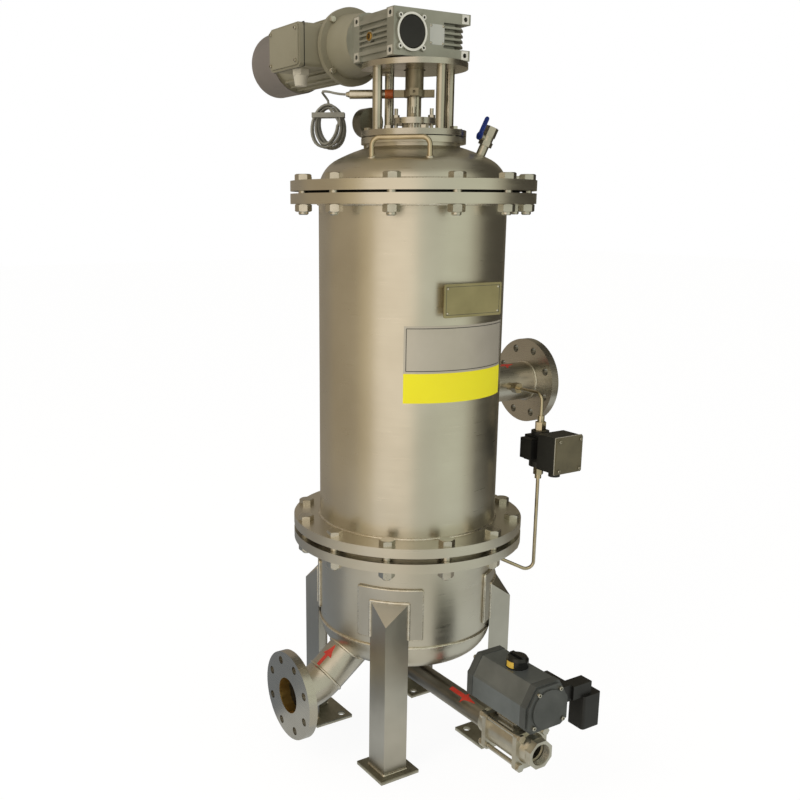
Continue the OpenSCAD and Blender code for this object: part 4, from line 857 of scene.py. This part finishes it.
def on_lid(x, y):
    """Point of the lid's rounded edge over a place, and the way that faces out there."""
    r = math.hypot(x, y)
    over = r - (SHELL_R - KNUCKLE_R)
    rise = math.sqrt(KNUCKLE_R ** 2 - over ** 2)
    return Vector((x, y, LID_TANGENT + rise)), Vector((x / r * over, y / r * over, rise)).normalized()


foot_paths = []
for az in HANDLE_AZ:
    turn = Matrix.Rotation(math.radians(az), 2)
    for side in (-1, 1):
        at, out = on_lid(*(turn @ Vector((HANDLE_R, side * HANDLE_W / 2))))
        foot_paths.append(circle_path(at, HANDLE_D / 2 + FOOT_BEAD, out, 24))
feet = grow("handle_welds", path_mesh("foot_paths", foot_paths), bead,
            {"Width": HANDLE_WELD_W * MM, "Step": HANDLE_WELD_STEP * MM, "Finish": weld_metal})
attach(feet, "vessel")
print("handle welds:", len(foot_paths))

# %% [markdown]
# The drain valve's mouth has a pipe thread. A true helix would not show at this size, so the same
# tree sweeps the crests as fine rings, one pitch apart.

# %% Thread in the drain's mouth
MOUTH_Y = -476
MOUTH_R = 23
THREAD_PITCH = 2.3
THREAD_TURNS = 7
THREAD_START = 1.5
CREST_W = 1.6
DRAIN_Z = 166
crests = [MOUTH_Y + THREAD_START + THREAD_PITCH * i for i in range(THREAD_TURNS)]
thread_paths = [circle_path((0, y, DRAIN_Z), MOUTH_R, (0, 1, 0), 48) for y in crests]
thread = grow("mouth_thread", path_mesh("thread_paths", thread_paths), bead,
              {"Width": CREST_W * MM, "Step": WELD_STEP * MM, "Finish": bright_bolt})
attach(thread, "vessel")
print("thread:", len(thread_paths), "turns")

# %% [markdown]
# ## The panel on the shell
# A flexible panel is glued round the shell: pale grey above, plain yellow below. It is left blank,
# with a thin printed border only. Bending a grid round the shell's radius makes it, with a real
# thickness, so that its edge shows.

# %% Panel on the shell
# Printed film: flat colour under a thin clear skin; its line is ink
panel_grey = finish("pale_printed_film", "#c4bfb2", "#b8b3a5", 0.40, (6, 6, 6), 0.01, 0.04, 90, 0.25)
panel_yellow = finish("yellow_printed_film", "#fff800", "#fdf300", 0.60, (6, 6, 6), 0.01, 0.04, 90)
panel_line = finish("dark_printed_line", "#4a4a46", "#42423e", 0.45, (6, 6, 6), 0.01, 0.04, 90)
PANEL_AZ = (-129, -53)
PANEL_Z = (840, 901, 997)
PANEL_T = 0.6
PANEL_GAP = 0.05


def wrapped(name, radius, az, z, thick, material, steps=48, centre=(0, 0), body="vessel"):
    """A sheet bent round an upright axis, from one azimuth and height to another, with its thickness."""
    axis = Vector((*centre, 0))
    outer = radius + thick
    section = ((radius, z[0]), (outer, z[0]), (outer, z[1]), (radius, z[1]))
    bm = bmesh.new()
    rows = []
    for i in range(steps + 1):
        a = math.radians(az[0] + (az[1] - az[0]) * i / steps)
        way = Vector((math.cos(a), math.sin(a), 0))
        rows.append([bm.verts.new((axis + way * r + Vector((0, 0, h))) * MM) for r, h in section])
    for one, two in zip(rows, rows[1:]):
        for k in range(4):
            bm.faces.new((one[k], one[(k + 1) % 4], two[(k + 1) % 4], two[k]))
    bm.faces.new(rows[0][::-1])
    bm.faces.new(rows[-1])
    sheet = piece(name, bm, material)
    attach(sheet, body)
    return sheet


wrapped("panel_film", SHELL_R + PANEL_GAP, PANEL_AZ, PANEL_Z[1:], PANEL_T, panel_grey)
wrapped("panel_band", SHELL_R + PANEL_GAP, PANEL_AZ, PANEL_Z[:2], PANEL_T, panel_yellow)
print("panel: from", PANEL_AZ[0], "to", PANEL_AZ[1], "degrees")

# %% [markdown]
# The border is ink, but a line of its own thin sheet keeps its edge sharp at any distance.

# %% Border of the panel
LINE_W = 1.6
LINE_IN = 5
LINE_T = 0.12
line_r = SHELL_R + PANEL_GAP + PANEL_T
inset_az = math.degrees(LINE_IN / SHELL_R)
line_az = math.degrees(LINE_W / SHELL_R)
frame_az = (PANEL_AZ[0] + inset_az, PANEL_AZ[1] - inset_az)
frame_z = (PANEL_Z[1] + LINE_IN, PANEL_Z[2] - LINE_IN)
for k, z in enumerate(frame_z):
    wrapped(f"panel_line_{k}", line_r, frame_az, (z - LINE_W / 2, z + LINE_W / 2), LINE_T, panel_line)
for k, az in enumerate(frame_az):
    wrapped(f"panel_side_{k}", line_r, (az - line_az / 2, az + line_az / 2), frame_z, LINE_T, panel_line, 2)
print("border:", len(frame_z), "level and", len(frame_az), "upright lines")

# %% [markdown]
# ## Paint marks
# Red arrows on the pipes show which way the water goes. An arrow is a flat outline that is wrapped
# round the pipe: its length runs along the pipe's axis and its width round it.

# %% Flow arrows
# Brushed-on paint: full red, slightly uneven, a dull shine
red_paint = finish("red_marking_paint", "#d8402f", "#c93626", 0.45, (5, 5, 5), 0.02, 0.05, 30)
PAINT_SKIN = (0.05, 0.35)
ARROW_HEAD = 0.45
ARROW_SHAFT = 0.32
ARROW_TIP = 0.02
ARROW_STRIPS = 8


def pipe_arrow(name, start, way, side, radius, length, width):
    """An arrow on a pipe, from a point on its axis, on the side given: a shaft and a head, each closed."""
    way = Vector(way).normalized()
    side = (Vector(side) - Vector(side).dot(way) * way).normalized()
    cross = way.cross(side)
    neck = length - ARROW_HEAD * length
    bm = bmesh.new()
    for rows in (((0, ARROW_SHAFT), (neck, ARROW_SHAFT)), ((neck, 1.0), (length, ARROW_TIP))):
        layers = []
        for along, share in rows:
            for skin in PAINT_SKIN:
                line = []
                for i in range(ARROW_STRIPS + 1):
                    a = (2 * i / ARROW_STRIPS - 1) * share * width / 2 / radius
                    out = side * math.cos(a) + cross * math.sin(a)
                    line.append(bm.verts.new((Vector(start) + way * along + out * (radius + skin)) * MM))
                layers.append(line)
        low0, low1, high0, high1 = layers
        for i in range(ARROW_STRIPS):
            bm.faces.new((low1[i], low1[i + 1], high1[i + 1], high1[i]))
            bm.faces.new((low0[i], high0[i], high0[i + 1], low0[i + 1]))
            bm.faces.new((low0[i], low0[i + 1], low1[i + 1], low1[i]))
            bm.faces.new((high0[i], high1[i], high1[i + 1], high0[i + 1]))
        for i in (0, ARROW_STRIPS):
            bm.faces.new((low0[i], low1[i], high1[i], high0[i]))
    arrow = piece(name, bm, red_paint)
    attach(arrow, "vessel")
    return arrow


DRAIN_R = 24.15
pipe_arrow("inlet_arrow", rise_start - rise_way * 4, rise_way, (-0.62, -0.2, 0.79), PIPE_R, 66, 28)
pipe_arrow("drain_arrow", Vector((0, -194, DRAIN_Z)), (0, -1, 0), (-0.4, 0, 1), DRAIN_R, 84, 32)
pipe_arrow("outlet_arrow", Vector((234, 0, outlet_z)), (1, 0, 0), (0, -0.2, 1), PIPE_R, 60, 30)
print("arrows: inlet, drain and outlet")

# %% [markdown]
# ## Small parts that the solids leave out
# Plates, marks, rings and seams are a millimetre or two thick. They sit on the solids that carry
# them, and a mark on a moving piece rides with that piece.

# %% Helpers for small parts
def turned(name, rings, at, way, material, body="vessel", hollow=False, steps=RING_STEPS):
    """A turned piece on a point, along a direction."""
    seat = Matrix.Translation(Vector(at)) @ Vector(way).to_track_quat("Z", "Y").to_matrix().to_4x4()
    bm = bmesh.new()
    stack(bm, rings, seat, steps, hollow)
    made = piece(name, bm, material)
    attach(made, body)
    return made


def blocks(name, boxes, material, soften=0.1, body="vessel"):
    """Small boxes between pairs of corners, as one piece with softened edges."""
    bm = bmesh.new()
    for low, high in boxes:
        middle, size = (Vector(low) + Vector(high)) / 2, Vector(high) - Vector(low)
        place = Matrix.Translation(middle * MM) @ Matrix.Diagonal((*(size * MM), 1))
        bmesh.ops.create_cube(bm, size=1.0, matrix=place)
    bmesh.ops.bevel(bm, geom=bm.edges[:], offset=soften * MM, segments=2, affect="EDGES")
    made = piece(name, bm, material)
    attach(made, body)
    return made


def frame_boxes(low, high, width, axis):
    """Four bars round the edge of a flat box that is thin along one axis."""
    u, v = [i for i in range(3) if i != axis]
    bars = []
    for i in (u, v):
        for near in (True, False):
            a, b = list(low), list(high)
            a[i], b[i] = (low[i], low[i] + width) if near else (high[i] - width, high[i])
            bars.append((a, b))
    return bars


print("helpers: turned, blocks and frame_boxes")

# %% [markdown]
# The drain's stem carries a black indicator with two yellow windows: they and its bar turn with the
# ball. The sensor looks at the trigger cross with an orange plastic face, the gearbox has a brass
# oil sight, and heat from welding has tinted the inlet's bore.

# %% Finishes of the marks
# Small moulded parts: clear colours and a satin skin
orange_plastic = finish("orange_sensor_face", "#c8652c", "#b85a26", 0.45, (3, 3, 3), 0.02, 0.05, 20)
indicator_yellow = finish("yellow_indicator_plastic", "#e6c04a", "#dcb440", 0.40, (3, 3, 3), 0.02, 0.05, 20)
# Glass over oil: dark, with a hard highlight
sight_glass = finish("dark_sight_glass", "#3a2a14", "#2c200f", 0.12, (5, 5, 5), 0.005, 0.02, 10)
# Turned brass: a warm, clear shine
brass = finish("turned_brass", "#c9a45c", "#b38f4c", 0.28, (8, 8, 2), 0.01, 0.04, 20, 1.0)
# Rubber seal: a matt black line; bare edge of a cover: pale and satin; enamelled dial: flat white
dark_seam = finish("black_seal_strip", "#26261f", "#1d1d18", 0.55, (3, 3, 3), 0.03, 0.05, 20)
pale_rim = finish("pale_cover_rim", "#c9c6b8", "#bbb8aa", 0.45, (3, 3, 3), 0.02, 0.05, 30)
dial_white = finish("white_dial_face", "#eeede8", "#e6e5df", 0.45, (6, 6, 6), 0.005, 0.03, 30)
print("finishes so far:", len(finishes))

# %% Indicator on the drain's stem
INDICATOR_AT = (0, -394)
INDICATOR_R = 23
WINDOW_AZ = ((-196, -150), (-16, 30))
WINDOW_Z = (329, 342)
WINDOW_GAP = 0.02
WINDOW_T = 0.3
BAR_HALF = (5, 18)
BAR_Z = (348.3, 352)
for k, az in enumerate(WINDOW_AZ):
    wrapped(f"indicator_window_{k}", INDICATOR_R + WINDOW_GAP, az, WINDOW_Z, WINDOW_T, indicator_yellow, 12,
            INDICATOR_AT, "drain_ball")
bar_low = (INDICATOR_AT[0] - BAR_HALF[0], INDICATOR_AT[1] - BAR_HALF[1], BAR_Z[0])
bar_high = (INDICATOR_AT[0] + BAR_HALF[0], INDICATOR_AT[1] + BAR_HALF[1], BAR_Z[1])
blocks("indicator_bar", [(bar_low, bar_high)], gloss_plastic, 0.6, "drain_ball")
print("indicator:", len(WINDOW_AZ), "windows and a bar, on the drain's ball")

# %% Sensor face, oil sight and bore
SENSOR_AZ = math.radians(144)
SENSOR_TIP = 43.8
SENSOR_Z = 1456
WORM_X = -63
WORM_Z = 1560
GEAR_X = (-104, 84)
GEAR_Y = 74
SIGHT_AT = (GEAR_X[0], 12, WORM_Z)
BORE_R = 40.45
TINT_L = (0.4, 26)
TINT_T = 0.3

sensor_way = Vector((math.cos(SENSOR_AZ), math.sin(SENSOR_AZ), 0))
sensor_tip = sensor_way * SENSOR_TIP + Vector((0, 0, SENSOR_Z))
sensor_cap = [(8.4, 0), (9.25, 0.8), (9.25, 17)]
turned("sensor_face", sensor_cap, sensor_tip, sensor_way, orange_plastic)
sight_ring = [(8.5, -0.5), (8.5, 1.8), (7.6, 2.6), (5.4, 2.6), (5.2, 0.6)]
turned("oil_sight_ring", sight_ring, SIGHT_AT, (-1, 0, 0), brass)
sight_pane = [(5.2, -0.2), (5.2, 0.9), (3.0, 1.3)]
turned("oil_sight_glass", sight_pane, SIGHT_AT, (-1, 0, 0), sight_glass)
# Oxide from welding heat: straw yellow over the metal's own shine
heat_tint = finish("heat_tinted_bore", "#ecd08c", "#d9b76c", 0.40, (30, 4, 4), 0.02, 0.06, 30, 1.0)
tint_sleeve = [(BORE_R, TINT_L[0]), (BORE_R, TINT_L[1]),
               (BORE_R - TINT_T, TINT_L[1]), (BORE_R - TINT_T, TINT_L[0])]
turned("inlet_bore_tint", tint_sleeve, (in_low.x / MM, 0, inlet_z), (1, 0, 0), heat_tint,
       hollow=True)
print("marks: sensor face, oil sight, bore")

# %% [markdown]
# The casting is milled where something bolts on: the ring round the black cap, its four bosses and
# the faces of the corner lugs. Milled metal is paler than the cast skin, so each gets a thin washer.

# %% Milled faces of the gearbox
# Milled aluminium: bare, pale and almost flat; its darker copy is painted shade on the worm side's lug faces
milled = finish("milled_aluminium_face", "#f2f2ec", "#e6e6df", 0.36, (20, 20, 3), 0.008, 0.04, 30, 0.35)
milled_painted_shade = finish("milled_aluminium_face_painted_shade", "#d6d2c5", "#c8c4b7", 0.40, (20, 20, 3), 0.01, 0.04, 30, 0.4)
MILLED_T = 0.25
MILLED_SINK = 0.02
CAP_AT = Vector((WORM_X, -79, WORM_Z))
CAP_FACE_R = (31.6, 35.6)
BOSS_AT = 39.5
BOSS_FACE_R = (2.6, 4.5)
LUG_W = 26
LUG_RISE = 34
LUG_HOLE_R = 4.5
LUG_FACE = 8.6


def washer(name, at, way, inner, outer, material=milled):
    """A thin flat ring on a face, from one radius to another."""
    rings = [(outer, -MILLED_SINK), (outer, MILLED_T), (inner, MILLED_T), (inner, -MILLED_SINK)]
    return turned(name, rings, at, way, material, hollow=True, steps=48)


def lug_edge(a):
    """Outline of a square lug's face, as a radius for each angle."""
    return LUG_FACE / max(abs(math.cos(a)), abs(math.sin(a)))


washer("cap_ring_face", CAP_AT, (0, -1, 0), *CAP_FACE_R)
for k in range(4):
    a = math.radians(45 + 90 * k)
    at = CAP_AT + Vector((math.cos(a), 0, math.sin(a))) * BOSS_AT
    washer(f"cap_boss_face_{k}", at, (0, -1, 0), *BOSS_FACE_R)
for k, z in enumerate((CAP_AT.z - LUG_RISE, CAP_AT.z + LUG_RISE)):
    washer(f"wheel_lug_face_{k}", (GEAR_X[1] - LUG_W / 2, -GEAR_Y, z), (0, -1, 0), LUG_HOLE_R, lug_edge)
    for side in (-1, 1):
        place = (GEAR_X[0], side * (GEAR_Y - LUG_W / 2), z)
        # These lug faces take the darker copy of the milled face: painted shade
        washer(f"worm_lug_face_{k}_{side + 1}", place, (-1, 0, 0), LUG_HOLE_R, lug_edge, milled_painted_shade)
print("milled faces: a ring, 4 bosses and 6 lugs")

# %% [markdown]
# The name plate is left blank inside a fine printed rule, and the gearbox has a plain foil label.
# The terminal box closes on a dark seal, and the switch's cover has a pale rim. Each is a frame of
# four bars, or one thin block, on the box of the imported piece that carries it.

# %% Plates and seams
# Foil: pale and slightly metallic
foil = finish("pale_foil_label", "#cdd0ca", "#c1c4be", 0.40, (6, 6, 6), 0.01, 0.04, 60, 0.3)
RULE_IN, RULE_W, RULE_OUT, RULE_SINK = 5, 0.9, 0.12, 0.05
LABEL_HALF = 18
LABEL_Z = (1541, 1579)
LABEL_Y = (-GEAR_Y - 0.7, -GEAR_Y + 0.2)
SEAM_HALF, SEAM_OUT, SEAM_W = 1, 0.25, 0.8
RIM_Y, RIM_OUT, RIM_W = (2.4, 0.4), 0.8, 1.2

name_low, name_high = [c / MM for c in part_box("name_plate")]
name_face = name_low.y
rule = frame_boxes((name_low.x + RULE_IN, name_face - RULE_OUT, name_low.z + RULE_IN),
                   (name_high.x - RULE_IN, name_face + RULE_SINK, name_high.z - RULE_IN), RULE_W, 1)
blocks("name_plate_rule", rule, panel_line, 0.02)
label = ((-LABEL_HALF, LABEL_Y[0], LABEL_Z[0]), (LABEL_HALF, LABEL_Y[1], LABEL_Z[1]))
blocks("gearbox_label", [label], foil)
box_low, box_high = [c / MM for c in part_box("terminal_box")]
seam = frame_boxes((box_low.x - SEAM_HALF, box_low.y - SEAM_OUT, box_low.z - SEAM_OUT),
                   (box_low.x + SEAM_HALF, box_high.y + SEAM_OUT, box_high.z + SEAM_OUT), SEAM_W, 0)
blocks("terminal_seam", seam, dark_seam, 0.05)
case_low, case_high = [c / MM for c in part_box("switch_cover")]
rim = frame_boxes((case_low.x - RIM_OUT, case_high.y - RIM_Y[0], case_low.z - RIM_OUT),
                  (case_high.x + RIM_OUT, case_high.y - RIM_Y[1], case_high.z + RIM_OUT), RIM_W, 1)
blocks("switch_cover_rim", rim, pale_rim, 0.2)
print("plates and seams: rule, label, seal and rim")

# %% [markdown]
# The pressure gauge faces away from the camera. Its dial is a plain white disc under a hub and a
# needle, all three turned round their own axis, which is the shortest way to a closed round piece.

# %% Dial of the gauge
GAUGE_FACE = Vector((-24, 151.1, 1407))
DIAL_R = 26.8
DIAL_T = 0.3
NEEDLE_AZ = math.radians(135)
NEEDLE_LIFT = Vector((0, 1.2, 0))
turned("gauge_dial", [(DIAL_R, 0), (DIAL_R, DIAL_T)], GAUGE_FACE, (0, 1, 0), dial_white)
turned("gauge_hub", [(2.6, 0.2), (2.6, 1.6), (1.6, 2.2)], GAUGE_FACE, (0, 1, 0), panel_line)
needle_way = (math.cos(NEEDLE_AZ), 0, math.sin(NEEDLE_AZ))
turned("gauge_needle", [(0.8, -5), (0.8, 0), (0.35, 22)], GAUGE_FACE + NEEDLE_LIFT, needle_way, panel_line)
print("dial:", 2 * DIAL_R, "mm across")

# %% [markdown]
# Rivets hold both plates at their corners. To the tree a rivet is just another screw: it needs a
# piece and the seats to set it on.

# %% Rivets
NAME_RIVET_IN = 9
LABEL_RIVET_IN = 3


def rivet(d):
    """Domed rivet head of that diameter."""
    bm = bmesh.new()
    stack(bm, [(d / 2, -0.3), (d / 2, 0.1 * d), (0.38 * d, 0.28 * d), (0.16 * d, 0.36 * d)], steps=18)
    return piece("rivet_pattern", bm, bright_bolt)


def plate_corners(low, high, y, inset):
    """Seats near the corners of an upright plate that faces the front, from two corners' x and z."""
    xs, zs = [(a + inset, b - inset) for a, b in zip(low, high)]
    return [(Vector((x, y, z)), Vector((0, -1, 0))) for x in xs for z in zs]


name_rivets = plate_corners((name_low.x, name_low.z), (name_high.x, name_high.z), name_face, NAME_RIVET_IN)
label_rivets = plate_corners((-LABEL_HALF, LABEL_Z[0]), (LABEL_HALF, LABEL_Z[1]), LABEL_Y[0], LABEL_RIVET_IN)
screw_set("plate_rivets", rivet(5), name_rivets + label_rivets)

# %% [markdown]
# The dial's ticks repeat round the gauge's middle. A small tree makes as many points as there are
# ticks, all in the middle, and turns one tick at each of them by its number times the step.

# %% Tree that turns ticks round a dial
def dial_tree():
    """Sets one piece at a point many times over, each turned one step further."""
    tree, given, result = new_tree("ticks_round_dial", [
        ("Tick", "NodeSocketObject"), ("Count", "NodeSocketInt"), ("First angle", "NodeSocketFloat"),
        ("Step", "NodeSocketFloat"), ("Middle", "NodeSocketVector"), ("Finish", "NodeSocketMaterial")])
    points = add(tree, "GeometryNodePoints", {}, {"Count": given["Count"], "Position": given["Middle"]})
    number = add(tree, "GeometryNodeInputIndex")
    angle = add(tree, "ShaderNodeMath", {}, {0: number.outputs[0], 1: given["Step"], 2: given["First angle"]},
                operation="MULTIPLY_ADD")
    turn = add(tree, "ShaderNodeCombineXYZ", {}, {"Y": angle.outputs[0]})
    tick = add(tree, "GeometryNodeObjectInfo", {}, {"Object": given["Tick"]})
    ticks = add(tree, "GeometryNodeInstanceOnPoints", {}, {
        "Points": points.outputs[0], "Instance": tick.outputs["Geometry"], "Rotation": turn.outputs[0]})
    return end_tree(tree, ticks.outputs[0], given, result)


dial_marks = dial_tree()
print("tree:", dial_marks.name, "with", len(dial_marks.nodes), "nodes")

# %% Ticks on the dial
TICK_R = 25.5
TICK_T = 0.3
TICK_LIFT = 0.4
TICK_FIRST = math.radians(-225)
TICK_SWEEP = 270
LONG_TICKS = 11
SHORT_TICKS = 51


def dial_ticks(name, count, length, width):
    """Ticks from lower left over the top to lower right, one ring of them as one piece."""
    bm = bmesh.new()
    place = Matrix.Translation(Vector((TICK_R - length / 2, TICK_LIFT, 0)) * MM)
    shape = Matrix.Diagonal((length * MM, TICK_T * MM, width * MM, 1))
    bmesh.ops.create_cube(bm, size=1.0, matrix=place @ shape)
    tick = piece("tick_pattern", bm, panel_line)
    values = {"Tick": tick, "Count": count, "First angle": TICK_FIRST,
              "Step": math.radians(TICK_SWEEP / (count - 1)), "Middle": list(GAUGE_FACE * MM),
              "Finish": panel_line}
    ticks = grow(name, bpy.data.meshes.new(name + "_seed"), dial_marks, values)
    bpy.data.objects.remove(tick)
    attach(ticks, "vessel")
    return ticks


dial_ticks("gauge_long_ticks", LONG_TICKS, 5, 0.9)
dial_ticks("gauge_short_ticks", SHORT_TICKS, 3, 0.4)
print("dial:", LONG_TICKS, "long and", SHORT_TICKS, "short ticks")

# %% [markdown]
# The cone between gearbox and motor is cast with the housing but painted with the motor. A thin
# painted sleeve over it shows that, with enough steps to lie close on the cone. Four hexagon screws
# hold the motor's flange.

# %% The motor's flange and paint
MOTOR_FACE_Y = 142
MOTOR_PITCH_R = 71
CONE_R = (57.4, 65.3)
CONE_L = 67.8
CONE_Y = 74.1
SLEEVE_T = 1
SLEEVE_STEPS = 120
sleeve = [(CONE_R[0], 0), (CONE_R[1], CONE_L), (CONE_R[1] - SLEEVE_T, CONE_L), (CONE_R[0] - SLEEVE_T, 0)]
turned("adapter_paint", sleeve, (WORM_X, CONE_Y, WORM_Z), (0, 1, 0), motor_enamel,
       hollow=True, steps=SLEEVE_STEPS)
motor_seats = []
for k in range(4):
    a = math.radians(45 + 90 * k)
    x, z = WORM_X + MOTOR_PITCH_R * math.cos(a), WORM_Z + MOTOR_PITCH_R * math.sin(a)
    motor_seats.append((Vector((x, MOTOR_FACE_Y, z)), Vector((0, -1, 0))))
screw_set("motor_flange_screws", hex_screw(12), motor_seats)

# %% [markdown]
# ## Light
# The photograph is a studio picture on white. Plain soft light comes from the world and from two
# large lamps. Polished metal only looks like metal when it has something to reflect, so a ring of
# grey screens stands round the object, as in a studio: they show in reflections, and the camera,
# the shadows and the diffuse light never see them.

# %% World
WORLD_LIGHT = 0.62


def seen_rays(tree):
    """Socket that is 1 for what the camera sees, directly or in a mirror, and 0 for plain light."""
    rays = add(tree, "ShaderNodeLightPath").outputs
    seen = add(tree, "ShaderNodeMath", {}, {0: rays["Is Camera Ray"], 1: rays["Is Glossy Ray"]},
               operation="MAXIMUM")
    seen = add(tree, "ShaderNodeMath", {}, {0: seen.outputs[0], 1: rays["Is Transmission Ray"]},
               operation="MAXIMUM")
    return seen.outputs[0]


world = bpy.data.worlds.new("white_studio")
world.use_nodes = True
tree = world.node_tree
tree.nodes.clear()
white = add(tree, "ShaderNodeBackground", {"Color": (1, 1, 1, 1), "Strength": 1.0})
soft = add(tree, "ShaderNodeBackground", {"Color": (1.0, 0.98, 0.95, 1), "Strength": WORLD_LIGHT})
both = add(tree, "ShaderNodeMixShader", {}, {0: seen_rays(tree), 1: soft.outputs[0], 2: white.outputs[0]})
add(tree, "ShaderNodeOutputWorld", {}, {"Surface": both.outputs[0]})
scene.world = world
print("world: white to the camera, light of", WORLD_LIGHT)

# %% [markdown]
# The floor is white paint. Most of what the camera sees of it is a plain white glow, and the rest is
# matt paint, so that the object keeps a faint shadow under it.

# %% Floor
FLOOR_HALF = 20
FLOOR_SHARE = 0.86
FLOOR_GLOW = 1.07
# Matt white paint: no shine, only a soft shadow
floor_paint = bpy.data.materials.new("white_floor_paint")
floor_paint.use_nodes = True
tree = floor_paint.node_tree
tree.nodes.clear()
share = add(tree, "ShaderNodeMath", {1: FLOOR_SHARE}, {0: seen_rays(tree)}, operation="MULTIPLY")
matt = add(tree, "ShaderNodeBsdfDiffuse", {"Color": linear("#f0efec")})
glow = add(tree, "ShaderNodeEmission", {"Color": (1, 1, 1, 1), "Strength": FLOOR_GLOW})
both = add(tree, "ShaderNodeMixShader", {}, {0: share.outputs[0], 1: matt.outputs[0], 2: glow.outputs[0]})
add(tree, "ShaderNodeOutputMaterial", {}, {"Surface": both.outputs[0]})
floor_mesh = bpy.data.meshes.new("floor")
floor_mesh.from_pydata([(x * FLOOR_HALF, y * FLOOR_HALF, 0) for x, y in ((-1, -1), (1, -1), (1, 1), (-1, 1))],
                       [], [(0, 1, 2, 3)])
floor_mesh.materials.append(floor_paint)
floor = bpy.data.objects.new("floor", floor_mesh)
scene.collection.objects.link(floor)
print("floor:", 2 * FLOOR_HALF, "m wide")

# %% [markdown]
# Two large lamps, one to the left of the camera and a weak one to its right, give the plain light
# its direction. They are hidden from reflections, where the screens take their place.

# %% Lamps
AIM_AT = Vector((0, 0, 0.8))
TOWARD_CAMERA = Vector((CAMERA_AT.x, CAMERA_AT.y, 0)).normalized()
RIGHT_HAND = Vector((-TOWARD_CAMERA.y, TOWARD_CAMERA.x, 0))


def round_about(degrees):
    """Level direction so many degrees to the right of the camera, seen from the object."""
    a = math.radians(degrees)
    return TOWARD_CAMERA * math.cos(a) + RIGHT_HAND * math.sin(a)


def soft_lamp(name, degrees, height, distance, size, watts, colour):
    """A large lamp so far round from the camera, that looks at the object's middle."""
    data = bpy.data.lights.new(name, "AREA")
    data.shape = "RECTANGLE"
    data.size, data.size_y = size
    data.energy = watts
    data.color = linear(colour)[:3]
    lamp = bpy.data.objects.new(name, data)
    lamp.location = round_about(degrees) * distance + Vector((0, 0, height))
    aim = AIM_AT - lamp.location
    lamp.rotation_euler = aim.to_track_quat("-Z", "Y").to_euler()
    scene.collection.objects.link(lamp)
    lamp.visible_glossy = False
    return lamp


soft_lamp("key_lamp", -40, 2.6, 3.2, (1.6, 2.2), 34, "#fff4e2")
soft_lamp("fill_lamp", 65, 1.6, 3.4, (1.4, 2.0), 10, "#fff6ea")
print("lamps: key and fill")

# %% [markdown]
# The screens give the steel what it reflects in the photograph: a warm glow left of the camera, a
# grey-green wall to the right, a dark one beyond it, a pale cloth below and a dim ceiling. Each is a
# card of one colour between two directions.

# %% Screens round the object
STUDIO_R = 1.75
STUDIO_H = 3.4
CLOTH_H = 0.005


def screen(name, start, end, near, far, colour, steps=12):
    """Card between two directions, from one (distance, height) to another, seen by reflections alone."""
    material = bpy.data.materials.new(name + "_cloth")
    material.use_nodes = True
    tree = material.node_tree
    tree.nodes.clear()
    glow = add(tree, "ShaderNodeEmission", {"Color": linear(colour), "Strength": 1.0})
    add(tree, "ShaderNodeOutputMaterial", {}, {"Surface": glow.outputs[0]})
    ways = [round_about(start + (end - start) * i / steps) for i in range(steps + 1)]
    mesh = bpy.data.meshes.new(name)
    mesh.from_pydata([way * r + Vector((0, 0, z)) for way in ways for r, z in (near, far)], [],
                     [(2 * i, 2 * i + 2, 2 * i + 3, 2 * i + 1) for i in range(steps)])
    mesh.materials.append(material)
    card = bpy.data.objects.new(name, mesh)
    scene.collection.objects.link(card)
    card.visible_camera = False
    card.visible_diffuse = False
    card.visible_shadow = False
    card.visible_transmission = False
    return card


WALL = ((STUDIO_R, CLOTH_H), (STUDIO_R, STUDIO_H))
CLOTH = ((0.02, CLOTH_H), (STUDIO_R, CLOTH_H))
CEILING = ((0.01, STUDIO_H), (STUDIO_R, STUDIO_H))
SCREENS = [
    ("wall_far_left", -180, -110, WALL, "#958c7e"), ("wall_left", -110, -60, WALL, "#a5977f"),
    ("wall_rise", -60, -42, WALL, "#c6b592"), ("wall_glow", -42, 6, WALL, "#fff2de"),
    ("wall_camera", 6, 36, WALL, "#cbccbd"), ("wall_right", 36, 73, WALL, "#d6d8c6"),
    ("wall_shade", 73, 86, WALL, "#aba693"), ("wall_dark", 86, 150, WALL, "#48443b"),
    ("wall_behind", 150, 180, WALL, "#77705f"),
    ("cloth_left", -180, -80, CLOTH, "#7f8489"), ("cloth_glow", -80, -25, CLOTH, "#b6b7b4"),
    ("cloth_camera", -25, 40, CLOTH, "#c6c3b8"), ("cloth_right", 40, 110, CLOTH, "#c2c4bd"),
    ("cloth_behind", 110, 180, CLOTH, "#8a8478"),
    ("ceiling_left", -180, 0, CEILING, "#9a8d73"), ("ceiling_right", 0, 180, CEILING, "#a3a090"),
]
for name, start, end, (near, far), colour in SCREENS:
    screen(name, start, end, near, far, colour)
print("screens:", len(SCREENS))

# %% [markdown]
# ## The view
# The view stays plain: the Standard transform, so that a colour looks as it was written.

# %% View
scene.view_settings.view_transform = "Standard"
